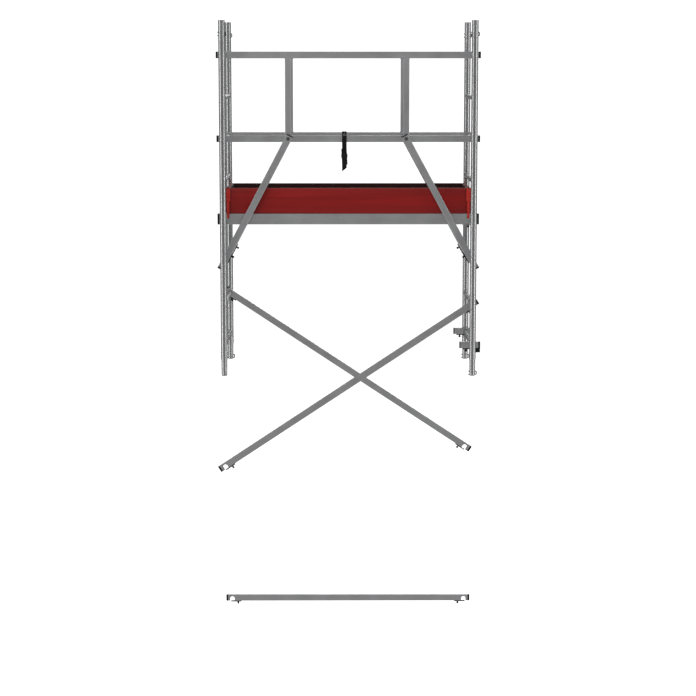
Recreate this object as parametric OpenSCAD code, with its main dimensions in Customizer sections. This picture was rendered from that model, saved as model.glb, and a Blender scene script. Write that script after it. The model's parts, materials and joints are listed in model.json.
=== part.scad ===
// Frame scaffold section: two ladder end frames, a working deck with toe boards,
// double guardrail frames with folding struts, two diagonal braces, one horizontal
// brace and a stand-off bracket. Origin: middle of the plane on which the four
// tube shoulders stand. X runs along the bay, Y across the frames, Z up.

/* [Ladder frames] */
// Bay length, between the centre lines of the two ladder frames
bay = 1510; // [1450:10:2000]
// Width of a ladder frame, between its upright centre lines
frame_w = 700; // [660:10:1300]
// Length of an upright tube above its shoulder
upright_h = 2040; // [1985:1:2060]
// Outside diameter of an upright tube
upright_d = 40; // [36:0.5:51]
// Wall of the upright tubes
upright_wall = 2; // [1.8:0.1:3]
// Height of the lowest rung above the shoulders
first_rung = 80; // [60:1:100]
// Rung pitch
rung_pitch = 250; // [240:1:260]
// Outside diameter of a rung
rung_d = 28; // [25:0.5:28]
// Wall of the rung tubes
rung_wall = 2; // [1.5:0.1:3]

/* [Spigots and locking pins] */
// Length of the close-fitting upper part of a spigot
spigot_fit_h = 60; // [50:1:70]
// Whole length of a spigot below the shoulder
spigot_h = 100; // [98:1:110]
// Depth of the reamed socket in the top of an upright
socket_h = 60; // [50:1:65]
// Thickness of the pin wire
pin_wire_d = 6; // [4:0.5:6]
// Distance between the two legs of a pin
pin_pitch = 20; // [16:1:20]

/* [Braces and rails] */
// Height of a brace or rail tube
brace_h = 40; // [36:1:40]
// Depth of a brace or rail tube
brace_t = 20; // [18:1:20]
// Wall of a brace or rail tube
brace_wall = 2; // [1.5:0.1:2.5]
// How far a tube with its cap runs past the rung axis
claw_reach = 40; // [36:1:44]
// Thickness of a black end cap outside the tube
cap_t = 12; // [6:1:12]
// Travel of a slide lock
lock_travel = 25; // [24:1:26]

/* [Guardrail] */
// Distance of a guardrail's centre plane from the middle
rail_y = 275; // [270:1:280]
// Distance of a guardrail post from the middle of its frame
post_x = 356; // [300:1:400]
// How far the pair of posts stands towards the right of the bay's middle
post_shift = -7; // [-20:1:20]
// Width of a guardrail post
post_w = 36; // [30:1:40]

/* [Deck] */
// Height of a deck side beam
beam_h = 66; // [60:1:70]
// Depth of a deck side beam
beam_t = 25; // [20:1:26]
// Distance from the middle to the outer face of a deck beam
deck_half_w = 250; // [245:1:252]
// Thickness of the plywood
ply_t = 12; // [9:1:15]
// Length of the hatch along the bay
hatch_l = 580; // [500:10:600]
// Width of the hatch across the bay
hatch_w = 380; // [340:10:380]
// Height of the toe boards
toe_h = 155; // [150:1:160]
// Thickness of the toe boards
toe_t = 25; // [15:1:25]

/* [Strap] */
// Width of the strap's webbing
strap_w = 28; // [25:1:35]
// Distance from the middle of the bay to the strap
strap_x = -24; // [-60:1:60]

/* [Hidden] */
$fn = 48;
eps = 0.5;
gap = 0.3;
fit = 0.05;
weld = 0.5;

up_x = bay / 2;
up_y = frame_w / 2;
up_r = upright_d / 2;
bore_r = up_r - upright_wall;
socket_play = 0.25;
socket_r = bore_r + socket_play;
spigot_fit_r = bore_r;
insert_r = bore_r - 0.25;
spigot_nose_r = bore_r - 0.5;
spigot_wall = 3;
spigot_insert_h = 60;
nose_chamfer = 6;
nose_taper = 2;

rungs = 8;
rung_r = rung_d / 2;
function rung_z(i) = first_rung + rung_pitch * (i - 1);

pin_r = pin_wire_d / 2;
pin_play = 0.4;
pin_hole_r = pin_r + pin_play;
pin_depth = 82;
pin_over = 6;
pin_out = up_r + pin_over;
pin_bend_r = 4;
pin_straight = up_r + 0.6;

// A claw is a round notch that hangs on a rung; its frame has the rung axis along Y
// at the origin, the tube running towards +X and the open mouth towards -Z.
claw_r = rung_r + 0.5;
claw_rise = 5;
tube_end = claw_reach - cap_t;
cap_plug = 8;
corner_r = 3;

lock_clear = 1.3;
lock_top = rung_r + lock_clear;
lock_h = 6;
lock_w = 14;
lock_tip = 10;
lock_tail = 59;
knob_x = 38;
knob_r = 6;
knob_taper = 1;
knob_h = 15;
stem_w = 5;
stem_l = 8;
slot_w = 6;
keeper_l = 12;
keeper_w = 12;
keeper_h = 3;

upright_clear = 1;
strut_gap = 2;
brace_y = up_y - up_r - upright_clear - brace_t / 2;
strut_y = rail_y + brace_t + strut_gap;
top_rail_z = rung_z(8);
mid_rail_z = rung_z(6);
pivot_z = mid_rail_z + claw_rise;
strut_foot_z = rung_z(3);
pivot_over = 24;
pivot_r = 5;
bush_r = 8;
hex_r = 9.2;
bolt_head_h = 6;
nut_h = 8;
washer_r = 11;
washer_t = 1.5;
strut_dz = pivot_z - strut_foot_z;

// Distance of the post on side sx from the middle of the bay, and the strut from it
// to its rung: how far it runs along the bay, its length and its slope.
function post_dist(sx) = post_x + sx * post_shift;
function strut_dx(sx) = up_x - post_dist(sx);
function strut_l(sx) = sqrt(pow(strut_dx(sx), 2) + pow(strut_dz, 2) - pow(claw_rise, 2));
function strut_angle(sx) = atan2(strut_dz, strut_dx(sx)) - atan2(claw_rise, strut_l(sx));

diag_low_z = rung_z(-2);
diag_high_z = rung_z(2);
diag_rise = diag_high_z - diag_low_z;
diag_l = sqrt(bay * bay + diag_rise * diag_rise);
diag_angle = atan2(diag_rise, bay);
level_drop = 10;
level_z = rung_z(-6) - level_drop;

deck_rung_z = rung_z(4);
beam_below = 15;
beam_z = deck_rung_z - beam_below;
deck_top = beam_z + beam_h;
beam_rise = beam_h / 2 - beam_below;
ply_short = 10;
ply_half_l = up_x - ply_short;
ply_half_w = deck_half_w - beam_t - gap;
cross_h = 40;
cross_w = 40;
cross_z = deck_top - ply_t - gap - cross_h;
hatch_x = -350;
hatch_gap = 3;
hinge_y = hatch_w / 2 + hatch_gap / 2;
knuckle_r = 3.7;
hinge_z = deck_top + knuckle_r + gap;
hinge_pin_r = 2;
leaf_t = 2;
leaf_l = 60;
leaf_w = 26;
hinge_at = [-540, -160];
cross_off = 15;
cross_mid = 330;
cross_in = 55;
cross_at = [hatch_x - hatch_l / 2 - cross_off, hatch_x + hatch_l / 2 + cross_off,
    cross_mid, up_x - cross_in];
knuckle_l = leaf_l / 3;
leaf_off = 0.8;
finger_r = 18;
finger_in = 40;
bar_in = 27;
bar_x = up_x - bar_in;
bar_r = 6;
bar_over = 4;
bar_half = deck_half_w + bar_over;
bar_z = deck_rung_z - lock_top - lock_h - bar_r + 2 * weld;
grip_l = 14;
grip_r = 7.5;

toe_inset = 3;
toe_short = 13;
toe_out = deck_half_w - toe_inset;
toe_in = toe_out - toe_t;
toe_end = up_x - toe_short;
corner_w = 25;
corner_h = 75;
corner_t = 8;
corner_wrap = 4;
corner_drop = 4;
tongue_w = 14;
tongue_over = 29;
tongue_bottom = deck_top - tongue_over;
tongue_y = deck_half_w + gap;

arm_in = 78;
arm_out = 49;
arm_cap_t = 6;
arm_plug = 2;
arm_z = rung_z(1);
crossbar_w = 30;
crossbar_h = 25;
crossbar_out = 33;
crossbar_x = up_x + crossbar_out;
crossbar_z = arm_z + claw_rise - brace_h / 2 - crossbar_h / 2 + weld;
crossbar_half = brace_y + brace_t / 2;

strap_t = 3;
strap_gap = 3;
strap_loop = 25;
strap_tail = 176;
strap_back = 35;
bundle_w = 38;
bundle_t = 16;
bundle_h = 100;
bundle_drop = 34;

// ---------------------------------------------------------------- placing

// Turns a left-front piece into the same piece at another corner.
module at_corner(sx, sy) {
    mirror([sx > 0 ? 1 : 0, 0, 0]) mirror([0, sy > 0 ? 1 : 0, 0]) children();
}

// Round bar along Y through the origin.
module y_rod(r, l) {
    rotate([90, 0, 0]) cylinder(r = r, h = l, center = true);
}

// Rounded rectangle about the origin.
module rounded_rect(w, h, r) {
    square([w - 2 * r, h], center = true);
    square([w, h - 2 * r], center = true);
    for (x = [-1, 1], y = [-1, 1])
        translate([x * (w / 2 - r), y * (h / 2 - r)]) circle(r = r, $fn = 24);
}

// ---------------------------------------------------------------- clawed tubes

// Solid bar of the brace section from x0 to x1, on its centre line.
module brace_bar(x0, x1, h = brace_h, t = brace_t, r = corner_r) {
    translate([x0, 0, 0]) rotate([90, 0, 90])
        linear_extrude(height = x1 - x0) rounded_rect(t, h, r);
}

// Rectangular tube from x0 to x1, on its centre line.
module brace_tube(x0, x1, h = brace_h, t = brace_t) {
    difference() {
        brace_bar(x0, x1, h, t);
        brace_bar(x0 - eps, x1 + eps, h - 2 * brace_wall, t - 2 * brace_wall,
            corner_r - brace_wall);
    }
}

// Cutter of a claw: the rung seat with its mouth.
module claw_cut(t = brace_t) {
    y_rod(claw_r, t + 2 * eps);
    translate([-claw_r, -t / 2 - eps, -brace_h]) cube([2 * claw_r, t + 2 * eps, brace_h]);
}

// Slot in the underside for a lock's stem, in the claw's frame.
module lock_slot_cut(bottom = claw_rise - brace_h / 2) {
    translate([knob_x - stem_l / 2 - 1, -slot_w / 2, bottom - eps])
        cube([stem_l + lock_travel + 2, slot_w, brace_wall + 2 * eps]);
}

// Tube that hangs on two rungs, the second one at x = l.
module claw_tube(l, locks = true) {
    difference() {
        translate([0, 0, claw_rise]) brace_tube(-tube_end, l + tube_end);
        claw_cut();
        translate([l, 0, 0]) claw_cut();
        if (locks) {
            lock_slot_cut();
            translate([l, 0, 0]) mirror([1, 0, 0]) lock_slot_cut();
        }
    }
}

// End cap with its plug; the face that meets the tube is at x = 0.
module end_cap(h = brace_h, t = brace_t, thick = cap_t, plug = cap_plug) {
    brace_bar(-thick, 0, h, t);
    brace_bar(-eps, plug, h - 2 * brace_wall - 2 * gap, t - 2 * brace_wall - 2 * gap,
        corner_r - brace_wall);
}

// The two end caps of a clawed tube.
module claw_caps(l) {
    translate([-tube_end, 0, claw_rise]) end_cap();
    translate([l + tube_end, 0, claw_rise]) mirror([1, 0, 0]) end_cap();
}

// Plate of a slide lock with its stem through the tube's wall and its keeper inside.
module lock_plate(bottom = claw_rise - brace_h / 2) {
    translate([-lock_tip, -lock_w / 2, -lock_top - lock_h])
        cube([lock_tip + lock_tail, lock_w, lock_h]);
    keeper_z = bottom + brace_wall + gap;
    translate([knob_x - stem_l / 2, -stem_w / 2, -lock_top - eps])
        cube([stem_l, stem_w, keeper_z + lock_top + 2 * eps]);
    translate([knob_x - keeper_l / 2, -keeper_w / 2, keeper_z])
        cube([keeper_l, keeper_w, keeper_h]);
}

// Slide lock under a claw, closed, with its knob.
module slide_lock() {
    lock_plate();
    translate([knob_x, 0, -lock_top - lock_h - knob_h])
        cylinder(r1 = knob_r - knob_taper, r2 = knob_r, h = knob_h + eps);
}

// ---------------------------------------------------------------- ladder frames

// Wire holes of a locking pin at height z.
module pin_holes(z) {
    for (dz = [-pin_pitch / 2, pin_pitch / 2])
        translate([0, 0, z + dz]) rotate([0, 90, 0])
            cylinder(r = pin_hole_r, h = 3 * up_r, center = true, $fn = 32);
}

module upright() {
    difference() {
        cylinder(r = up_r, h = upright_h);
        translate([0, 0, -eps]) cylinder(r = bore_r, h = upright_h);
        translate([0, 0, upright_h - socket_h]) cylinder(r = socket_r, h = socket_h + eps);
        pin_holes(upright_h - pin_depth);
    }
}

module spigot() {
    difference() {
        union() {
            translate([0, 0, -spigot_fit_h]) cylinder(r = spigot_fit_r, h = spigot_fit_h);
            translate([0, 0, -spigot_h + nose_chamfer])
                cylinder(r = spigot_nose_r, h = spigot_h - nose_chamfer);
            translate([0, 0, -spigot_h])
                cylinder(r1 = spigot_nose_r - nose_taper, r2 = spigot_nose_r, h = nose_chamfer);
            cylinder(r = insert_r, h = spigot_insert_h);
        }
        translate([0, 0, -spigot_h - eps])
            cylinder(r = spigot_fit_r - spigot_wall, h = spigot_h + spigot_insert_h + 2 * eps);
        pin_holes(-pin_depth);
    }
}

module rung_row(x) {
    for (i = [1 : rungs])
        difference() {
            translate([x, 0, rung_z(i)]) y_rod(rung_r, frame_w);
            translate([x, 0, rung_z(i)]) y_rod(rung_r - rung_wall, frame_w + 2 * eps);
            for (s = [-1, 1])
                translate([x, s * up_y, rung_z(i) - 2 * rung_r])
                    cylinder(r = up_r, h = 4 * rung_r);
        }
}

// U-shaped wire pin: two straight legs with their ends at -X, joined outside the tube
// at +X by a straight back with rounded corners.
module wire_pin() {
    back = pin_pitch / 2 - pin_bend_r;
    for (s = [-1, 1])
        translate([-pin_out, 0, s * pin_pitch / 2]) rotate([0, 90, 0])
            cylinder(r = pin_r, h = pin_out + pin_straight, $fn = 32);
    translate([pin_straight, 0, back]) pin_corner();
    translate([pin_straight, 0, -back]) rotate([180, 0, 0]) pin_corner();
    translate([pin_straight + pin_bend_r, 0, -back]) cylinder(r = pin_r, h = 2 * back, $fn = 32);
}

module pin_corner() {
    rotate([90, 0, 0]) rotate_extrude(angle = 90)
        translate([pin_bend_r, 0]) circle(r = pin_r, $fn = 32);
}

module pin_at(sx, sy, z) {
    translate([sx * up_x, sy * up_y, z]) wire_pin();
}

module left_front_upright() { color("silver") translate([-up_x, -up_y, 0]) upright(); }
module left_rear_upright() { color("silver") translate([-up_x, up_y, 0]) upright(); }
module right_front_upright() { color("silver") translate([up_x, -up_y, 0]) upright(); }
module right_rear_upright() { color("silver") translate([up_x, up_y, 0]) upright(); }
module left_rungs() { color("silver") rung_row(-up_x); }
module right_rungs() { color("silver") rung_row(up_x); }

module spigots() {
    color("silver")
        for (sx = [-1, 1], sy = [-1, 1]) translate([sx * up_x, sy * up_y, 0]) spigot();
}

module top_pin(sx, sy) { color("dimgray") pin_at(sx, sy, upright_h - pin_depth); }
module joint_pin(sx, sy) { color("dimgray") pin_at(sx, sy, -pin_depth); }
module top_pin_left_front() { top_pin(-1, -1); }
module top_pin_left_rear() { top_pin(-1, 1); }
module top_pin_right_front() { top_pin(1, -1); }
module top_pin_right_rear() { top_pin(1, 1); }
module joint_pin_left_rear() { joint_pin(-1, 1); }
module joint_pin_right_front() { joint_pin(1, -1); }
module joint_pin_right_rear() { joint_pin(1, 1); }

// ---------------------------------------------------------------- guardrails

// Welded frame of two rails and two posts, in front.
module guardrail() {
    difference() {
        union() {
            for (z = [top_rail_z, mid_rail_z])
                translate([-up_x, -rail_y, z]) claw_tube(bay, locks = false);
            for (s = [-1, 1])
                translate([s * post_dist(s), -rail_y, pivot_z + brace_h / 2])
                    linear_extrude(height = top_rail_z - mid_rail_z - brace_h)
                        difference() {
                            rounded_rect(post_w, brace_t, corner_r);
                            rounded_rect(post_w - 2 * brace_wall,
                                brace_t - 2 * brace_wall, corner_r - brace_wall);
                        }
        }
        for (s = [-1, 1])
            translate([s * post_dist(s), -rail_y, pivot_z]) y_rod(pivot_r + 2 * fit, 2 * brace_t);
    }
}

module guardrail_caps() {
    color([0.08, 0.08, 0.08])
        for (sy = [-1, 1], z = [top_rail_z, mid_rail_z])
            at_corner(-1, sy) translate([-up_x, -rail_y, z]) claw_caps(bay);
}

// Pivot bolt with head, washers and nut; the frame's outside is at -Y.
module pivot_bolt() {
    head_y = strut_y + brace_t / 2 + gap;
    nut_y = rail_y - brace_t / 2 - fit;
    translate([0, -(head_y + nut_y) / 2, 0]) y_rod(pivot_r, head_y - nut_y + nut_h);
    translate([0, -head_y, 0]) rotate([90, 0, 0]) cylinder(r = hex_r, h = bolt_head_h, $fn = 6);
    translate([0, -head_y - washer_t / 2, 0]) y_rod(washer_r, washer_t);
    translate([0, -(rail_y + strut_y) / 2, 0]) y_rod(washer_r, strut_gap - 2 * gap);
    translate([0, -nut_y, 0]) rotate([-90, 0, 0]) cylinder(r = hex_r, h = nut_h, $fn = 6);
}

module strut_pivots() {
    color("gainsboro")
        for (sx = [-1, 1], sy = [-1, 1])
            at_corner(sx, sy) translate([-post_dist(sx), 0, pivot_z]) pivot_bolt();
}

module front_guardrail() { color("silver") guardrail(); }
module rear_guardrail() { color("silver") mirror([0, 1, 0]) guardrail(); }

// ---------------------------------------------------------------- struts

// Puts a piece in the claw frame of a strut's foot.
module in_strut_frame(sx, sy) {
    at_corner(sx, sy) translate([-up_x, -strut_y, strut_foot_z])
        rotate([0, -strut_angle(sx), 0]) children();
}

module strut(sx, sy) {
    color("silver") in_strut_frame(sx, sy) {
        difference() {
            translate([0, 0, claw_rise])
                brace_tube(-tube_end, strut_l(sx) + pivot_over - cap_t / 2);
            claw_cut();
            lock_slot_cut();
            translate([strut_l(sx), 0, claw_rise]) y_rod(bush_r, 2 * brace_t);
        }
        translate([strut_l(sx), 0, claw_rise])
            difference() {
                y_rod(bush_r, brace_t);
                y_rod(pivot_r + fit, brace_t + 2 * eps);
            }
    }
}

module strut_caps(sx, sy) {
    color([0.08, 0.08, 0.08]) in_strut_frame(sx, sy) {
        translate([-tube_end, 0, claw_rise]) end_cap();
        translate([strut_l(sx) + pivot_over - cap_t / 2, 0, claw_rise]) mirror([1, 0, 0])
            end_cap(thick = cap_t / 2);
    }
}

// The lock of a strut rests drawn back, clear of the rung.
module strut_lock(sx, sy) {
    color([0.1, 0.1, 0.1]) in_strut_frame(sx, sy)
        translate([lock_travel, 0, 0]) slide_lock();
}

module strut_left_front() { strut(-1, -1); }
module strut_left_rear() { strut(-1, 1); }
module strut_right_front() { strut(1, -1); }
module strut_right_rear() { strut(1, 1); }
module strut_caps_left_front() { strut_caps(-1, -1); }
module strut_caps_left_rear() { strut_caps(-1, 1); }
module strut_caps_right_front() { strut_caps(1, -1); }
module strut_caps_right_rear() { strut_caps(1, 1); }
module strut_lock_left_front() { strut_lock(-1, -1); }
module strut_lock_left_rear() { strut_lock(-1, 1); }
module strut_lock_right_front() { strut_lock(1, -1); }
module strut_lock_right_rear() { strut_lock(1, 1); }

// ---------------------------------------------------------------- deck

// Side beam of the deck, in the frame of its left claw.
module deck_beam() {
    difference() {
        translate([0, 0, beam_rise]) brace_tube(-tube_end, bay + tube_end, beam_h, beam_t);
        claw_cut(beam_t);
        translate([bay, 0, 0]) claw_cut(beam_t);
        translate([bay, 0, 0]) mirror([1, 0, 0]) lock_slot_cut(-beam_below);
    }
}

// Puts a piece in the left claw frame of a deck beam, in front or at the rear.
module in_beam_frame(sy) {
    translate([-up_x, sy * (deck_half_w - beam_t / 2), deck_rung_z]) children();
}

module deck_beams() {
    color("silver") for (sy = [-1, 1]) in_beam_frame(sy) deck_beam();
}

module deck_caps() {
    color([0.08, 0.08, 0.08])
        for (sy = [-1, 1]) in_beam_frame(sy) {
            translate([-tube_end, 0, beam_rise]) end_cap(beam_h, beam_t);
            translate([bay + tube_end, 0, beam_rise]) mirror([1, 0, 0]) end_cap(beam_h, beam_t);
        }
}

module deck_cross_members() {
    half = deck_half_w - beam_t - gap / 2;
    color("silver")
        for (x = cross_at)
            translate([x, 0, cross_z + cross_h / 2]) rotate([0, 0, 90])
                brace_tube(-half, half, cross_h, cross_w);
}

// Two lock plates joined by a rod across the deck; the rod is its handle.
module deck_lock_bar() {
    color("gray") {
        for (sy = [-1, 1])
            in_beam_frame(sy) translate([bay, 0, 0]) mirror([1, 0, 0]) lock_plate(-beam_below);
        translate([bar_x, 0, bar_z]) y_rod(bar_r, 2 * bar_half);
    }
}

module deck_lock_grips() {
    color([0.08, 0.08, 0.08])
        for (sy = [-1, 1])
            translate([bar_x, sy * (bar_half + grip_l / 2), bar_z]) y_rod(grip_r, grip_l);
}

module deck_panel() {
    color("burlywood")
        difference() {
            translate([-ply_half_l, -ply_half_w, deck_top - ply_t])
                cube([2 * ply_half_l, 2 * ply_half_w, ply_t]);
            translate([hatch_x - hatch_l / 2 - hatch_gap, -hatch_w / 2 - hatch_gap,
                    deck_top - ply_t - eps])
                cube([hatch_l + 2 * hatch_gap, hatch_w + 2 * hatch_gap, ply_t + 2 * eps]);
        }
}

module hatch() {
    color("burlywood")
        difference() {
            translate([hatch_x - hatch_l / 2, -hatch_w / 2, deck_top - ply_t])
                cube([hatch_l, hatch_w, ply_t]);
            translate([hatch_x, -hatch_w / 2 + finger_in, deck_top - ply_t - eps])
                cylinder(r = finger_r, h = ply_t + 2 * eps);
        }
}

// Three knuckles share the hinge's length; these are those from a to b.
module knuckle(a, b, bored) {
    difference() {
        translate([a, 0, 0]) rotate([0, 90, 0]) cylinder(r = knuckle_r, h = b - a, $fn = 32);
        if (bored)
            translate([a - eps, 0, 0]) rotate([0, 90, 0])
                cylinder(r = hinge_pin_r + fit, h = b - a + 2 * eps, $fn = 32);
    }
}

// Leaf beyond the barrel, with a tab to its own knuckle from a to b; it runs towards +Y.
module leaf(a, b) {
    translate([-leaf_l / 2, knuckle_r + leaf_off, -knuckle_r - gap])
        cube([leaf_l, leaf_w, leaf_t]);
    translate([a, hinge_pin_r / 2, -knuckle_r - gap])
        cube([b - a, knuckle_r + eps, leaf_t]);
}

module hatch_hinges() {
    color("gray")
        for (x = hinge_at)
            translate([x, hinge_y, hinge_z]) {
                mirror([0, 1, 0]) leaf(-knuckle_l / 2, knuckle_l / 2);
                knuckle(-knuckle_l / 2, knuckle_l / 2, true);
            }
}

module deck_hinges() {
    color("gray")
        for (x = hinge_at)
            translate([x, hinge_y, hinge_z]) {
                for (s = [-1, 1]) {
                    inner = s * (knuckle_l / 2 + gap);
                    outer = s * leaf_l / 2;
                    knuckle(min(inner, outer), max(inner, outer), false);
                    leaf(min(inner, outer), max(inner, outer));
                }
                rotate([0, 90, 0]) cylinder(r = hinge_pin_r, h = leaf_l, center = true, $fn = 32);
            }
}

// ---------------------------------------------------------------- toe boards

module side_toe_board() {
    translate([-toe_end, -toe_out, deck_top]) cube([2 * toe_end, toe_t, toe_h]);
}

module front_toe_board() { color("firebrick") side_toe_board(); }
module rear_toe_board() { color("firebrick") mirror([0, 1, 0]) side_toe_board(); }

module end_toe_boards() {
    color("firebrick")
        for (sx = [-1, 1]) at_corner(sx, -1)
            translate([-toe_end, -toe_in + gap / 2, deck_top])
                cube([toe_t, 2 * toe_in - gap, toe_h]);
}

// Clip round the end of a side board with a tongue down over the deck beam.
module toe_corner() {
    top = deck_top + toe_h - corner_drop;
    translate([-toe_end - corner_wrap, -toe_out - corner_t, top - corner_h])
        cube([corner_w + corner_wrap, corner_t, corner_h]);
    translate([-toe_end - corner_wrap, -toe_out - eps, top - corner_h])
        cube([corner_wrap, toe_t, corner_h]);
    translate([-toe_end + (corner_w - tongue_w) / 2, -toe_out - corner_t, tongue_bottom])
        cube([tongue_w, toe_out + corner_t - tongue_y, top - corner_h - tongue_bottom + eps]);
}

module toe_board_corners() {
    color("red") for (sx = [-1, 1], sy = [-1, 1]) at_corner(sx, sy) toe_corner();
}

// ---------------------------------------------------------------- long braces

module in_front_diagonal() {
    translate([-up_x, -brace_y, diag_low_z]) rotate([0, -diag_angle, 0]) children();
}

module in_rear_diagonal() {
    mirror([1, 0, 0]) mirror([0, 1, 0]) in_front_diagonal() children();
}

module in_level_brace() { translate([-up_x, brace_y, level_z]) children(); }
module at_far_claw(l) { translate([l, 0, 0]) mirror([1, 0, 0]) children(); }

module front_diagonal() { color("silver") in_front_diagonal() claw_tube(diag_l); }
module rear_diagonal() { color("silver") in_rear_diagonal() claw_tube(diag_l); }
module level_brace() { color("silver") in_level_brace() claw_tube(bay); }

module front_diagonal_caps() { color([0.08, 0.08, 0.08]) in_front_diagonal() claw_caps(diag_l); }
module rear_diagonal_caps() { color([0.08, 0.08, 0.08]) in_rear_diagonal() claw_caps(diag_l); }
module level_brace_caps() { color([0.08, 0.08, 0.08]) in_level_brace() claw_caps(bay); }

module front_diagonal_low_lock() { color([0.1, 0.1, 0.1]) in_front_diagonal() slide_lock(); }
module front_diagonal_high_lock() {
    color([0.1, 0.1, 0.1]) in_front_diagonal() at_far_claw(diag_l) slide_lock();
}
module rear_diagonal_low_lock() { color([0.1, 0.1, 0.1]) in_rear_diagonal() slide_lock(); }
module rear_diagonal_high_lock() {
    color([0.1, 0.1, 0.1]) in_rear_diagonal() at_far_claw(diag_l) slide_lock();
}
module level_brace_left_lock() { color([0.1, 0.1, 0.1]) in_level_brace() slide_lock(); }
module level_brace_right_lock() {
    color([0.1, 0.1, 0.1]) in_level_brace() at_far_claw(bay) slide_lock();
}

// ---------------------------------------------------------------- stand-off bracket

// Claw frame of an arm, on the lowest rung of the right frame.
module in_arm(sy) { at_corner(1, sy) translate([-up_x, -brace_y, arm_z]) children(); }

module stand_off() {
    color("silver") {
        for (sy = [-1, 1])
            in_arm(sy)
                difference() {
                    translate([0, 0, claw_rise]) brace_tube(-arm_out + cap_t, arm_in - arm_cap_t);
                    claw_cut();
                    lock_slot_cut();
                }
        translate([crossbar_x, 0, crossbar_z]) rotate([0, 0, 90])
            brace_tube(-crossbar_half, crossbar_half, crossbar_h, crossbar_w);
    }
}

module stand_off_caps() {
    color([0.08, 0.08, 0.08]) {
        for (sy = [-1, 1])
            in_arm(sy) {
                translate([-arm_out + cap_t, 0, claw_rise + weld]) end_cap(brace_h - 2 * weld);
                translate([arm_in - arm_cap_t, 0, claw_rise]) mirror([1, 0, 0])
                    end_cap(thick = arm_cap_t, plug = arm_plug);
            }
        for (s = [-1, 1])
            translate([crossbar_x, 0, crossbar_z]) rotate([0, 0, s * 90])
                translate([-crossbar_half, 0, 0])
                    end_cap(crossbar_h, crossbar_w, arm_cap_t);
    }
}

module stand_off_front_lock() { color([0.1, 0.1, 0.1]) in_arm(-1) slide_lock(); }
module stand_off_rear_lock() { color([0.1, 0.1, 0.1]) in_arm(1) slide_lock(); }

// ---------------------------------------------------------------- strap

// Band from y0 to y1 and z0 to z1, as wide as the strap, about x = 0.
module band(y0, y1, z0, z1, w = strap_w) {
    translate([-w / 2, y0, z0]) cube([w, y1 - y0, z1 - z0]);
}

// Strap riveted behind the mid rail, looped over it and hanging in front.
module strap() {
    back = -rail_y + brace_t / 2;
    front = -rail_y - brace_t / 2 - strap_gap;
    rail_top = pivot_z + brace_h / 2;
    loop_r = (back - front) / 2 + strap_t;
    loop_z = rail_top + strap_loop - loop_r;
    mid_y = (back + front) / 2;
    tail_z = rail_top - brace_h - strap_tail;
    bundle_z = rail_top - brace_h - bundle_drop - bundle_h;
    color([0.1, 0.1, 0.1])
        translate([strap_x, 0, 0]) {
            intersection() {
                difference() {
                    translate([0, mid_y, loop_z]) rotate([0, 90, 0])
                        cylinder(r = loop_r, h = strap_w, center = true);
                    translate([0, mid_y, loop_z]) rotate([0, 90, 0])
                        cylinder(r = loop_r - strap_t, h = strap_w + eps, center = true);
                }
                band(front - 2 * strap_t, back + 2 * strap_t, loop_z, loop_z + 2 * loop_r);
            }
            band(back, back + strap_t, rail_top - strap_back, loop_z);
            band(front - strap_t, front, tail_z, loop_z);
            band(front - bundle_t, front, bundle_z, bundle_z + bundle_h, bundle_w);
        }
}

left_front_upright();
left_rear_upright();
right_front_upright();
right_rear_upright();
left_rungs();
right_rungs();
spigots();
top_pin_left_front();
top_pin_left_rear();
top_pin_right_front();
top_pin_right_rear();
joint_pin_left_rear();
joint_pin_right_front();
joint_pin_right_rear();
front_guardrail();
rear_guardrail();
guardrail_caps();
strut_pivots();
strut_left_front();
strut_left_rear();
strut_right_front();
strut_right_rear();
strut_caps_left_front();
strut_caps_left_rear();
strut_caps_right_front();
strut_caps_right_rear();
strut_lock_left_front();
strut_lock_left_rear();
strut_lock_right_front();
strut_lock_right_rear();
deck_beams();
deck_cross_members();
deck_panel();
deck_caps();
deck_lock_bar();
deck_lock_grips();
hatch();
hatch_hinges();
deck_hinges();
front_toe_board();
rear_toe_board();
end_toe_boards();
toe_board_corners();
front_diagonal();
front_diagonal_caps();
front_diagonal_low_lock();
front_diagonal_high_lock();
rear_diagonal();
rear_diagonal_caps();
rear_diagonal_low_lock();
rear_diagonal_high_lock();
level_brace();
level_brace_caps();
level_brace_left_lock();
level_brace_right_lock();
stand_off();
stand_off_caps();
stand_off_front_lock();
stand_off_rear_lock();
strap();
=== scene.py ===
"""Finishes and small parts of a frame scaffold section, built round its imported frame."""

import json
import math
import random

import bmesh
import bpy
from bpy.props import FloatProperty, FloatVectorProperty, IntProperty, PointerProperty
from bpy.types import Operator, Panel, PropertyGroup
from mathutils import Matrix, Vector


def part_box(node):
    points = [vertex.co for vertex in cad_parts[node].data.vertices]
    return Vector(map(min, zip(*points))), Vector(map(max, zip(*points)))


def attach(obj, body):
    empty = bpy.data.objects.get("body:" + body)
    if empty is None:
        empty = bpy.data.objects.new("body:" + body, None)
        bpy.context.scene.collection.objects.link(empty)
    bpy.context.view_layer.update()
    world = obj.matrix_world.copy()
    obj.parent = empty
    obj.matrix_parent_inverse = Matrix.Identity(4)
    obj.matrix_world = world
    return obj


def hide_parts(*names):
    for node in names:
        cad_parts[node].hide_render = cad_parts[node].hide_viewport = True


bl_info = {
    "name": "Frame scaffold section",
    "version": (1, 0, 0),
    "blender": (4, 5, 0),
    "location": "3D View > Sidebar > Scaffold",
    "description": "Finishes and small parts of a ladder frame scaffold section",
    "category": "Object",
}

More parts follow.
